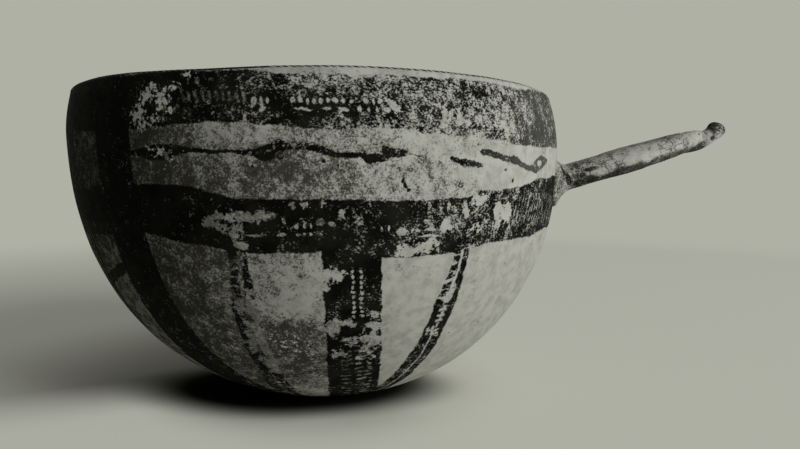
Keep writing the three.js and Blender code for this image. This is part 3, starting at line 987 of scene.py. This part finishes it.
# Each dab holds (turn, height, half width, half height), and so does the bare eye at the end of the tail.
TAIL_EYE = (32.4, 95.3, 2.1, 1.1)
DABS = (
    (69.3, 89.8, 0.5, 1), (68.9, 88.4, 0.5, 1), (68.5, 87.1, 0.8, 0.6), (83.6, 96, 0.5, 0.5),
    (80.9, 95, 0.4, 0.4), (95.8, 94.3, 0.5, 0.6), (66.7, 88.2, 0.35, 0.35), (45.8, 93.1, 0.6, 0.5),
    (43.5, 89.4, 0.6, 0.7),
)
LIGHT_DABS = (
    (92.9, 98.9, 0.8, 0.35), (91.9, 99.8, 0.4, 0.7), (90.1, 100.1, 0.5, 0.35), (74.8, 98.7, 0.55, 0.45),
    (74.2, 99.9, 0.4, 0.4), (75.4, 100.1, 0.4, 0.3), (73.4, 98.2, 0.4, 0.4),
)
# Each ring dot holds (turn, height, radius).
RING_DOTS = ((79.8, 105.1, 0.7), (90.9, 97.2, 0.75), (57.5, 88.5, 0.7))


def distance(sideways, upward):
    """How far a place lies from a middle."""
    return (sideways * sideways + upward * upward).sum("SQRT")


def oval(sideways, upward, half_width, half_height):
    """1 inside an oval, with a soft edge."""
    return distance(sideways / half_width, upward / half_height).rise(1.2, 0.8)


def paint_chain(turn, height, sideways_from):
    """The chain, its tail, and the dabs and ring dots beside them."""

    def dab(at, level, half_width, half_height):
        return oval(sideways_from(at), height - level, half_width, half_height)

    def line(middle, half):
        return (height - along_turn(turn, middle)).within(along_turn(turn, half), 0.2)

    marks = line(CHAIN_MIDDLE, CHAIN_HALF).over(line(TAIL_MIDDLE, TAIL_HALF) * (1 - dab(*TAIL_EYE)))
    for bare in LIGHT_DABS:
        marks = marks * (1 - dab(*bare))
    for dark in DABS:
        marks = marks.over(dab(*dark))
    for at, level, reach in RING_DOTS:
        away = distance(sideways_from(at), height - level)
        marks = marks * away.rise(reach + 0.4, reach + 0.7)
        marks = marks.over((away - reach).within(0.3, 0.2))
    return marks


print("chain with", len(DABS), "dabs and", len(RING_DOTS), "ring dots")

# %% [markdown]
# ## The strips down the belly
# Wide dark strips and narrow ladders run from the lower band to the bottom, where they close up. Each keeps
# its width in millimetres, not in degrees, so it is measured across from one edge, along the wall. Light
# dots, rungs and gaps were left bare inside the strips, and they are cut out of the dark here.

# %% Wide strips
# Inside a wide strip, with places across it and heights in mm.
WIDE_WIDTH = 18.7
DOT_COLUMNS = (9.4, 12)
DOT_LEVELS = (45, 62.5)
DOT_PITCH = 1.75
DOT_EDGE = (0.66, 0.44)
RUNG_LINE = 9
RUNG_REACH = (4.8, 15.5)
RUNG_TOP = (39, 37)
RUNG_PITCH = 2


def paint_wide_strip(height, across, faint):
    """A dark strip with two columns of light dots above, and faint light rungs beside a dark line below."""
    beside = height.swing(DOT_PITCH / 2)
    dots = [distance(across - column, beside).rise(*DOT_EDGE) for column in DOT_COLUMNS]
    dots = dots[0].over(dots[1]) * height.between(*DOT_LEVELS, 0.3)
    rungs = height.swing(RUNG_PITCH / 2).rise(0.5, 0.25) * height.rise(*RUNG_TOP)
    left, right = RUNG_REACH
    sides = across.between(RUNG_LINE + 0.7, right, 0.4).over(across.between(left, RUNG_LINE - 0.7, 0.4) * 0.6)
    return across.between(0, WIDE_WIDTH, BRUSH_EDGE) * (1 - dots.over(rungs * sides * faint))


print("wide strips of", WIDE_WIDTH, "mm")

# %% Ladders
# Inside a narrow strip, which swells downwards while the gap in it closes up.
NARROW_WIDTH = 6.2
NARROW_SWELL = 2.6
SWELL_LEVELS = (66, 48)
GAP_LEVELS = (32, 52)
GAP_PLACE = 0.46
NARROW_RUNG_PITCH = 2.4
NARROW_RUNG_LEVELS = (38, 50.5)
DAB_PITCH = 2.9
DAB_LEVELS = (51, 66)
OVAL_LEVELS = (40.2, 46.8)
OVAL_MIDDLE = 41.3
OVAL_PITCH = 2.2
OVAL_REACH = (3, 5.6)


def paint_ladder(height, across, faint):
    """A narrow strip of two strokes, with a gap that rungs cross and that closes up towards the bottom."""
    width = height.rise(*SWELL_LEVELS) * NARROW_SWELL + NARROW_WIDTH
    gap = (across - width * GAP_PLACE).within(height.rise(*GAP_LEVELS) * 0.3 + 0.3, 0.2)
    rung = height.swing(NARROW_RUNG_PITCH / 2).rise(0.7, 0.45) * height.between(*NARROW_RUNG_LEVELS, 1.5)
    dabs = height.swing(DAB_PITCH / 2).rise(0.7, 1.4) + faint * 1.2
    broken = dabs.rise(0.75, 1.05) * height.between(*DAB_LEVELS, 0.6) * (across / width).rise(0.5, 0.65)
    ovals = cells(height - OVAL_MIDDLE, OVAL_PITCH, 0.9) * height.between(*OVAL_LEVELS, 0.2)
    ovals = ovals * across.between(*OVAL_REACH, 0.4)
    return across.between(0, width, BRUSH_EDGE) * (1 - (gap * (1 - rung)).over(broken).over(ovals))


print("ladders of", NARROW_WIDTH, "mm, and", NARROW_SWELL, "mm more lower down")

# %% All strips
# Turns of the strips' edges on one half. One strip has dots, and the tall ones run on up to the upper band.
DOTTED, TALL_WIDE = 84.5, 131.5
WIDE_LEFT_EDGES = (DOTTED, TALL_WIDE, 178)
TALL_NARROW = 143.5
NARROW_RIGHT_EDGES = (53.8, 98.5, TALL_NARROW)
STRIP_TOP = 76
TALL_STRIP_TOP = 108
# A bar between the tall strips: its turns, its level at the first turn and its slope in mm to a degree.
BAR_TURNS = (131, 146)
BAR_START = (131.5, 60)
BAR_SLOPE = 7 / 13.5


def paint_strips(turn, height, sideways_from, faint):
    """The strips of one half, and the bar between the tall ones."""
    strips = height * 0
    for edge in WIDE_LEFT_EDGES:
        top = TALL_STRIP_TOP if edge == TALL_WIDE else STRIP_TOP
        across = sideways_from(edge) * -1
        if edge == DOTTED:
            strip = paint_wide_strip(height, across, faint)
        else:
            strip = across.between(0, WIDE_WIDTH, BRUSH_EDGE)
        strips = strips.over(strip * height.rise(top, top - 1))
    for edge in NARROW_RIGHT_EDGES:
        top = TALL_STRIP_TOP if edge == TALL_NARROW else STRIP_TOP
        strips = strips.over(paint_ladder(height, sideways_from(edge), faint) * height.rise(top, top - 1))
    first_turn, first_level = BAR_START
    bar_level = first_level - (turn - first_turn) * BAR_SLOPE
    bar = (height - bar_level).within(2, BRUSH_EDGE) * turn.between(*BAR_TURNS, 0.4)
    return strips.over(bar)


print(len(WIDE_LEFT_EDGES), "wide strips and", len(NARROW_RIGHT_EDGES), "ladders on each half")

# %% The whole ornament
# The brush wavered: noises that shift the paint up and sideways, each with a slow and a quick part.
SLOW_SHAKE = (7, 2)
SLOW_JITTER = (5, 2)
QUICK_SHAKE = (1, 4, 0.7)
QUICK_JITTER = (1.2, 4, 0.7)
FAINT_SPOTS = (2.2, 3)


def make_ornament():
    """All the paint as it was before any wear, and the turn of each place. The far half is a mirror image."""
    group, (place, lip_run), out = new_group(
        "painted_ornament",
        [("Place", "Vector"), ("Lip run", "Float")],
        [("Paint", "Float"), ("Turn", "Float")],
    )
    x, y, z = place.split()
    x = x - z * (MOUTH_SHIFT / RIM_HEIGHT)
    turn = (y * -1).bearing(x).size() / DEGREE
    radius = (x * x + y * y).sum("SQRT")

    def waver(slow, quick):
        return (noise_at(place, *slow) - 0.5) * 0.7 + (noise_at(place, *quick) - 0.5) * 0.6

    height = z + waver(SLOW_SHAKE, QUICK_SHAKE)
    jitter = waver(SLOW_JITTER, QUICK_JITTER)

    def sideways_from(at):
        return (turn - at) * DEGREE * radius + jitter

    faint = noise_at(place, *FAINT_SPOTS).rise(0.35, 0.75) * 0.75
    bands = paint_bands(turn, height, lip_run, sideways_from, faint)
    paint = bands.over(paint_chain(turn, height, sideways_from))
    paint = paint.over(paint_strips(turn, height, sideways_from, faint))
    plug(group, paint, out["Paint"])
    plug(group, turn, out["Turn"])
    return group


painted_ornament = make_ornament()
print("ornament of", len(painted_ornament.nodes), "nodes")

# %% [markdown]
# ## Dressing the bowl
# The outside is slip under paint under wear, in the order in which the potter and time laid them on. Each
# layer is a mask that lets the one below show through. A bump gives the paint its thin edge. The inside is
# the same slip without the ornament.

# %% Helpers for clay


def finish_clay(tree, colour, roughness, height):
    """Ends a material: a matt clay shader with a bump whose height is in mm."""
    bump = tree.nodes.new("ShaderNodeBump")
    bump.inputs["Distance"].default_value = MM
    plug(tree, height, bump.inputs["Height"])
    shader = tree.nodes.new("ShaderNodeBsdfPrincipled")
    shader.inputs["Specular IOR Level"].default_value = 0.02
    plug(tree, colour, shader.inputs["Base Color"])
    plug(tree, roughness, shader.inputs["Roughness"])
    tree.links.new(bump.outputs["Normal"], shader.inputs["Normal"])
    output = tree.nodes.new("ShaderNodeOutputMaterial")
    tree.links.new(shader.outputs[0], output.inputs["Surface"])


def attribute(tree, name):
    """A number that was stored on the mesh's points."""
    node = tree.nodes.new("ShaderNodeAttribute")
    node.attribute_name = name
    return Wire(tree, node.outputs["Fac"])


def object_place(tree):
    """Where a point lies in the frame, in mm."""
    scale = tree.nodes.new("ShaderNodeVectorMath")
    scale.operation = "SCALE"
    scale.inputs["Scale"].default_value = 1 / MM
    plug(tree, place_node(tree, "ShaderNodeTexCoord", "Object"), scale.inputs[0])
    return Wire(tree, scale.outputs[0])


print("clay helpers ready")

# %% Outside of the bowl
PAINT = (0.0052, 0.0053, 0.004, 1)
THIN_PAINT = (0.022, 0.0217, 0.0165, 1)
LIME = (0.94, 0.93, 0.86, 1)
# Noises of the lime's lumps and of the paint's tone.
LIME_LUMPS = (1.4, 4, 0.65)
TONE = (9, 3)
# How high paint and lime stand on the slip, in mm.
PAINT_RELIEF = 0.03
LIME_RELIEF = 0.6
# Towards the handle the paint is thin on the upper band, and was brushed nearly dry along the chain's tail.
THIN_TURNS = (50, 34)
THIN_LEVELS = (90, 94)
DRY_TURNS = (58, 52)
DRY_LEVELS = (91, 101)


def painted_slip():
    """The outside: slip, paint, what was lost of it, and lime on top."""
    material, tree = new_material("painted_slip")
    place = object_place(tree)
    # The slip's darkness, read from the mesh, carries dirt and painted shade alike.
    slip, rough, relief = use_group(tree, slip_ground, Place=place, Wear=attribute(tree, "slip_grime_and_shade"))
    painted, turn = use_group(tree, painted_ornament, Place=place, Lip_run=attribute(tree, "lip_run"))
    rub, chip = (attribute(tree, name) for name in ("paint_rub", "paint_chip"))
    lost, = use_group(tree, flaking, Place=place, Rub=rub, Chip=chip)
    kept = painted * (1 - lost)
    lumps = noise_at(place, *LIME_LUMPS)
    lime = (lumps + 0.33 - attribute(tree, "lime_crust") * 1.05).rise(0.1, -0.1)
    _, _, z = place.split()
    thin = turn.rise(*THIN_TURNS) * z.rise(*THIN_LEVELS)
    dry_brush = turn.rise(*DRY_TURNS) * z.between(*DRY_LEVELS, 0.5)
    tone = noise_at(place, *TONE).rise(0.2, 0.95)
    dark = blend(tone * 0.6 + thin * 0.4, PAINT, THIN_PAINT)
    under = blend(painted * lost * 0.3, slip, SLIP)
    colour = blend(kept * (1 - thin * 0.12 - dry_brush * 0.06), under, dark)
    raised = relief + kept * PAINT_RELIEF + lime * lumps * LIME_RELIEF
    finish_clay(tree, blend(lime, colour, LIME), rough - kept * 0.12, raised)
    return material


bowl_mesh.materials.append(painted_slip())
print("outside dressed in", bowl_mesh.materials[0].name)

# %% Inside of the bowl
# Heights inside, between which the slip grows darker towards the bottom.
INSIDE_DARKER = (60, 8)
# The paint ends inside the lip, this far beyond its crest along the wall.
INSIDE_RUN = -4


def inside_slip():
    """The inside: plain slip with cracks, darker towards the bottom."""
    material, tree = new_material("inside_slip")
    place = object_place(tree)
    _, _, z = place.split()
    wear = z.rise(*INSIDE_DARKER) * 0.3 + 0.35
    slip, rough, relief = use_group(tree, slip_ground, Place=place, Wear=wear)
    crack, = use_group(tree, hairline_cracks, Place=place, Spread=0.3)
    finish_clay(tree, blend(crack * 0.6, slip, BARE_CLAY), rough, relief - crack * 0.08)
    return material


inside_material = inside_slip()
bowl_mesh.materials.append(inside_material)
face_run = np.array([lip_run[face.vertices[0]] for face in bowl_mesh.polygons])
bowl_mesh.polygons.foreach_set("material_index", (face_run < INSIDE_RUN).astype(np.int32))
bowl = put_in_scene("painted_bowl", bowl_mesh)
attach(bowl, "root")
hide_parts("bowl_body")
print("bowl dressed:", int((face_run >= INSIDE_RUN).sum()), "painted faces")

# %% [markdown]
# ## The wishbone handle
# Two rolls of soft clay were stuck through the wall, bent together and pinched into one turned-up tip, and
# then clay was smeared round their roots. Joined tubes would meet in hard creases. So we model the rolls,
# their flared feet and the tip as rough solids that overlap, fuse them with a voxel remesh and smooth the
# seams, much as a wet finger does.

# %% Roots of the handle
ROOT_DROP = 14.5
BACK_ROOT_DROP = 2.5
ARM_SPREAD = 44
FRONT, BACK = -1, 1


def root_drop(side):
    """How far below the widest level an arm meets the wall."""
    return ROOT_DROP + (BACK_ROOT_DROP if side == BACK else 0)


def wall_radius(height, skin=0):
    """The belly's radius at a height, skin being 0 outside and the wall's thickness inside."""
    depth = INSIDE_DEPTH if skin else OUTSIDE_DEPTH
    share = abs(WIDEST_HEIGHT - height) / depth
    return (BOWL_RADIUS - skin) * (1 - share**ROUNDNESS) ** (1 / ROUNDNESS)


def root_turn(side):
    """The angle from the handle's middle to an arm's root, towards +Y."""
    return side * math.asin(ARM_SPREAD / 2 / wall_radius(WIDEST_HEIGHT - root_drop(side)))


def wall_point(angle, height, skin=0, proud=0):
    """A point on the wall, or this far proud of it. The angle runs towards +Y."""
    step = 0.5
    radius = wall_radius(height, skin)
    lean = (wall_radius(height + step, skin) - wall_radius(height - step, skin)) / (2 * step)
    face = -1 if skin else 1
    pressed = dent(radius * math.cos(angle), radius * math.sin(angle), height)
    lift = (pressed + face * proud) / math.hypot(1, lean)
    out = radius + lift
    return Vector(hand_built(out * math.cos(angle), out * math.sin(angle), height - lean * lift))


def root_point(side):
    """Where the middle of an arm meets the wall."""
    return wall_point(root_turn(side), WIDEST_HEIGHT - root_drop(side))


print("roots", ARM_SPREAD, "mm apart")

# %% Curves of the arms
HANDLE_TILT = math.radians(15.3)
ARM_REACH = 63
ARM_STRAIGHT = 30
ARM_CLOSING = 20
MEETING_ANGLE = math.radians(38)
ARM_END_WIDTH = 7.5
ARM_END_GAP = 1.2

OUT = Vector((math.cos(HANDLE_TILT), 0, math.sin(HANDLE_TILT)))
UP = Vector((-math.sin(HANDLE_TILT), 0, math.cos(HANDLE_TILT)))
ACROSS = Vector((0, 1, 0))
ROOT_MIDDLE = root_point(FRONT)
ROOT_MIDDLE.y = 0


def in_handle(out, across, up):
    """A point of the handle: along it, across it and square to its plane."""
    return ROOT_MIDDLE + OUT * out + ACROSS * across + UP * up


def bezier(corners, share):
    """The point at this share of the way along a Bezier curve."""
    while len(corners) > 1:
        corners = [first.lerp(second, share) for first, second in zip(corners, corners[1:])]
    return corners[0]


def heading(corners, share, step):
    """The direction of a Bezier curve at this share of the way."""
    return (bezier(corners, min(share + step, 1)) - bezier(corners, max(share - step, 0))).normalized()


def arm_corners(side):
    """The corners of an arm's curve: straight out of the wall, then in towards the other arm."""
    root = root_point(side) - ROOT_MIDDLE
    out, up = root.dot(OUT), root.dot(UP)
    end = side * (ARM_END_GAP + ARM_END_WIDTH) / 2
    closing = Vector((math.cos(MEETING_ANGLE), side * math.sin(MEETING_ANGLE))) * ARM_CLOSING
    return [
        in_handle(out, root.y, up),
        in_handle(out + ARM_STRAIGHT, root.y, up),
        in_handle(ARM_REACH - closing.x, end + closing.y, 0),
        in_handle(ARM_REACH, end, 0),
    ]


print("arms rise", round(math.degrees(HANDLE_TILT), 1), "degrees out from the wall")

# %% Arms with flared feet
ARM_WIDTH = 10.5
ARM_HEIGHT = 9.9
ARM_END_HEIGHT = 8.2
FOOT_HEIGHT = 6.5
FOOT_SPREAD = 4.2
FOOT_ABOVE = 3.4
FOOT_BELOW = 5.6
FOOT_DEPTH = 2.5
ARM_END_REACH = 8
SECTION = 28
# Lengths along an arm, in mm: where its rings have turned from the wall to the arm, and where it has tapered.
FOOT_TURN = (0.5, 9)
TAPERED_AT = 66
# Shares of the way along an arm where its rings lie, close together in the foot, and along its rounded end.
ARM_SHARES = np.concatenate((np.linspace(0, 0.14, 22), np.linspace(0.16, 1, 50)))
END_SHARES = np.linspace(0.15, 0.95, 7)


def oval_ring(middle, sideways, upward, width, height):
    """Points round an oval section."""
    turns = [math.tau * step / SECTION for step in range(SECTION)]
    return [
        middle + sideways * (width / 2 * math.cos(angle)) + upward * (height / 2 * math.sin(angle))
        for angle in turns
    ]


def roll_mesh(name, rings):
    """A closed roll through oval rings, with its ends drawn to a point."""
    first, last = (sum(ring, Vector()) / len(ring) for ring in (rings[0], rings[-1]))
    return mesh_of_rings(name, [[first], *rings, [last]])


def arm_rings(side):
    """Rings along an arm: square to the wall in its flared foot, and square to the arm further out."""
    corners = arm_corners(side)
    angle = root_turn(side)
    wall_face = Vector((math.cos(angle), math.sin(angle), 0))
    rings = []
    length = 0
    before = corners[0]
    for share in ARM_SHARES:
        middle = bezier(corners, share)
        length += (middle - before).length
        before = middle
        ahead = heading(corners, share, 0.01)
        ahead = wall_face.lerp(ahead, float(smooth(length, *FOOT_TURN))).normalized()
        sideways = UP.cross(ahead).normalized()
        taper = float(smooth(length, ARM_STRAIGHT, TAPERED_AT))
        flare = max(0, 1 - length / FOOT_HEIGHT) ** 2.6
        width = ARM_WIDTH + (ARM_END_WIDTH - ARM_WIDTH) * taper + 2 * FOOT_SPREAD * flare
        height = ARM_HEIGHT + (ARM_END_HEIGHT - ARM_HEIGHT) * taper + (FOOT_ABOVE + FOOT_BELOW) * flare
        upward = ahead.cross(sideways)
        heart = middle + upward * ((FOOT_ABOVE - FOOT_BELOW) / 2 * flare)
        rings.append(oval_ring(heart, sideways, upward, width, height))
    for share in END_SHARES:
        middle = corners[-1] + (OUT * ARM_END_REACH - ACROSS * (side * ARM_END_WIDTH / 2)) * float(share)
        thinned = math.sqrt(1 - share**2)
        size = (ARM_END_WIDTH * thinned, ARM_END_HEIGHT * thinned)
        rings.append(oval_ring(middle, ACROSS * -1, UP, *size))
    sunk = [[point - wall_face * FOOT_DEPTH for point in rings[0]]]
    return sunk + rings


rolls = [roll_mesh("roll", arm_rings(side)) for side in (FRONT, BACK)]
print("arms of", [len(mesh.polygons) for mesh in rolls], "faces")

# %% Tip
SPUR_REACH = 15.6
SPUR_LAP = 5
SPUR_BEND = 7
SPUR_DIP = 1.9
SPUR_LIFT = 3.2
SPUR_BLUNT = 4
SPUR_RINGS = 40
# Sizes along the tip: its share of the way out, its width and its height.
SPUR_SIZES = (
    (0, 16.2, 8.2), (0.24, 14, 8.3), (0.4, 11.3, 7.8), (0.66, 8.8, 6), (0.84, 8.8, 7.6), (1, 8.8, 8.6),
)


def tip_rings():
    """Rings along the tip, which dips, turns up and ends bluntly."""
    corners = [
        in_handle(ARM_REACH - SPUR_LAP, 0, 0),
        in_handle(ARM_REACH + SPUR_REACH - SPUR_BEND, 0, -2 * SPUR_DIP),
        in_handle(ARM_REACH + SPUR_REACH, 0, SPUR_LIFT),
    ]
    shares, widths, heights = zip(*SPUR_SIZES)
    rings = []
    for share in np.linspace(0, 1, SPUR_RINGS):
        middle = bezier(corners, share)
        ahead = heading(corners, share, 0.02)
        sideways = UP.cross(ahead).normalized()
        to_end = (1 - share) * (SPUR_REACH + SPUR_LAP)
        blunt = math.sqrt(max(0.02, 1 - (1 - min(to_end / SPUR_BLUNT, 1)) ** 2))
        width = np.interp(share, shares, widths) * blunt
        height = np.interp(share, shares, heights) * blunt
        rings.append(oval_ring(middle, sideways, ahead.cross(sideways), width, height))
    return rings


rolls.append(roll_mesh("tip", tip_rings()))
print("tip of", len(rolls[-1].polygons), "faces")

# %% Fuse the clay
VOXEL = 0.5
SMOOTHINGS = 9
# Sizes of the lumps and their depths, in mm.
LUMPS = ((9, 0.35), (3.2, 0.12))


def fuse(name, meshes):
    """Joins overlapping solids into one skin and smooths the seams."""
    corners, faces = [], []
    for mesh in meshes:
        faces += [[index + len(corners) for index in face.vertices] for face in mesh.polygons]
        corners += [vertex.co.copy() for vertex in mesh.vertices]
    joined = bpy.data.meshes.new(name)
    joined.from_pydata(corners, [], faces)
    clay = put_in_scene(name, joined)
    remesh = clay.modifiers.new("fuse", "REMESH")
    remesh.mode = "VOXEL"
    remesh.voxel_size = VOXEL * MM
    rub = clay.modifiers.new("rub", "SMOOTH")
    rub.factor = 0.5
    rub.iterations = SMOOTHINGS
    fused = bpy.data.meshes.new_from_object(clay.evaluated_get(bpy.context.evaluated_depsgraph_get()))
    clay.modifiers.clear()
    clay.data = fused
    fused.name = name
    return clay


def press_lumps(mesh):
    """Leaves the maker's finger marks: soft lumps along the surface."""
    for vertex, normal in zip(mesh.vertices, [vertex.normal.copy() for vertex in mesh.vertices]):
        vertex.co += normal * (pressed_by(LUMPS, vertex.co / MM) * MM)


handle = fuse("wishbone_handle", rolls)
press_lumps(handle.data)
handle.data.polygons.foreach_set("use_smooth", [True] * len(handle.data.polygons))
print("handle of", len(handle.data.polygons), "faces")

# %% [markdown]
# ## The handle's finish
# The handle has the bowl's slip, rubbed by hands, with a painted tip and dark marks, most near the root, both
# flaked. A dark streak from near the root along the underside is painted shade in the same colour. We place
# these by their distance along the handle and square to it, so they stay put from every side. Hairline
# cracks run along the clay.

# %% Material of the handle
# Stretches of the handle, in mm out from its root, and levels of its paint and of the painted shade along
# its underside, in mm square to the handle.
DARKER_TO_ROOT = (34, 8)
UNDERSIDE_SHADE_SPAN = (5, 69)
FADING = (36, 42)
FADED = (62, 58)
PAINTED_TIP = (71.8, 73.2)
UNDERSIDE_SHADE_LEVELS = (-1.1, -2.5)
TIP_LEVELS = (-1.8, -0.8)
WANDER = (8, 3)
HANDLE_TONE = (6, 3)
CRACK_RELIEF = 0.1


def along(place, direction, start):
    """How far a place lies from a starting point in a direction."""
    node = place.tree.nodes.new("ShaderNodeVectorMath")
    node.operation = "DOT_PRODUCT"
    plug(place.tree, place, node.inputs[0])
    node.inputs[1].default_value = direction
    return Wire(place.tree, node.outputs["Value"]) - start.dot(direction)


# Dark marks on the handle, as (out, up, half length, half height).
HANDLE_MARKS = (
    (3.9, -0.6, 1.1, 2.6), (3, 3, 0.7, 2.4), (8.4, -0.2, 2.6, 0.9), (13.6, 1.1, 3, 0.9),
    (72, -1.4, 1.2, 1), (65.9, 1.8, 0.7, 0.5),
)


def handle_slip():
    """The handle's slip with cracks, what is left of its paint, and painted shade along the underside."""
    material, tree = new_material("handle_slip")
    place = object_place(tree)
    out = along(place, OUT, ROOT_MIDDLE)
    up = along(place, UP, ROOT_MIDDLE)
    # The slip grows darker towards the root, between these two stretches.
    wear = out.rise(*DARKER_TO_ROOT) * 0.24 + 0.46
    slip, rough, relief = use_group(tree, slip_ground, Place=place, Wear=wear)
    crack, = use_group(tree, hairline_cracks, Place=place, Spread=0.55)
    wander = (noise_at(place, *WANDER) - 0.5) * 2
    faded = out.rise(*FADING) * out.rise(*FADED) * 0.15
    # Painted shade: the underside darkened in the paint's colour, a little less midway.
    underside_shade = (up + wander * 0.9).rise(*UNDERSIDE_SHADE_LEVELS) * out.between(*UNDERSIDE_SHADE_SPAN, 1.5) * (1 - faded)
    tip = (up + wander * 0.6).rise(*TIP_LEVELS) * out.rise(*PAINTED_TIP)
    marks = underside_shade.over(tip)
    for at, level, half_length, half_height in HANDLE_MARKS:
        marks = marks.over(oval(out - at + wander * 0.5, up - level, half_length, half_height))
    lost, = use_group(tree, flaking, Place=place, Rub=0.16, Chip=0.1)
    kept = marks * (1 - lost)
    dark = blend(noise_at(place, *HANDLE_TONE).rise(0.2, 0.9), PAINT, THIN_PAINT)
    colour = blend(crack * 0.75, slip, BARE_CLAY)
    raised = relief + kept * PAINT_RELIEF - crack * CRACK_RELIEF
    finish_clay(tree, blend(kept * 0.9, colour, dark), rough, raised)
    return material


handle.data.materials.append(handle_slip())
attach(handle, "root")
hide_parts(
    "handle_arm_front", "handle_arm_back", "handle_spur", "root_fillet_front", "root_fillet_back"
)
print("handle dressed")

# %% [markdown]
# ## Patches inside
# Inside the bowl a pad of clay was smeared over the end of each roll, so that it could not pull out. A ball
# cut in half would look stuck on. Each pad is a low mound that follows the inner wall and thins out to
# nothing.

# %% Patches
PATCH_RADIUS = 11
PATCH_HEIGHT = 3.2
PATCH_SINK = 0.8
PATCH_BACK = 0.6
PATCH_STEPS = 64
PATCH_RINGS = 22
PATCH_RAGGED = 0.12
PATCH_LUMPS = ((4, 0.35),)


def patch_mesh(side):
    """A ragged mound over the end of an arm, on the inner wall."""
    angle = root_turn(side)
    level = WIDEST_HEIGHT - root_drop(side)
    radius = wall_radius(level, WALL)

    def on_pad(reach, around):
        edge = Vector((math.cos(around) * 1.3, math.sin(around) * 1.3, side * 3))
        ragged = 1 + PATCH_RAGGED * noise.noise(edge)
        sideways = reach * ragged * PATCH_RADIUS * math.cos(around)
        upward = reach * ragged * PATCH_RADIUS * math.sin(around)
        lump = pressed_by(PATCH_LUMPS, Vector((sideways, upward, side * 20))) * (1 - reach)
        proud = (PATCH_HEIGHT + PATCH_SINK) * (1 - reach * reach) ** 1.6 - PATCH_SINK + lump
        return wall_point(angle + sideways / radius, level + upward, WALL, proud)

    steps = [math.tau * step / PATCH_STEPS for step in range(PATCH_STEPS)]
    mound = [[on_pad(reach, around) for around in steps] for reach in np.linspace(0, 1, PATCH_RINGS)]
    back = [wall_point(angle, level, WALL, -PATCH_SINK - PATCH_BACK)]
    return mesh_of_rings("patch", [*mound, back])


for name, side in (("front", FRONT), ("back", BACK)):
    pad = put_in_scene(f"tenon_pad_{name}", patch_mesh(side))
    pad.data.materials.append(inside_material)
    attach(pad, "root")
    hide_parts(f"tenon_patch_{name}")
    print(pad.name, "of", len(pad.data.polygons), "faces")

# %% [markdown]
# ## Sizes
# The boxes round the solids and round the dressed bowl are printed side by side. The dressed
# bowl may not outgrow its solids.

# %% Print the sizes
boxes = {"cad": cad_box, "visual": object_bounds()}
for name, (low, high) in boxes.items():
    print(name, "box in mm:", [round((high[axis] - low[axis]) / MM, 1) for axis in range(3)])
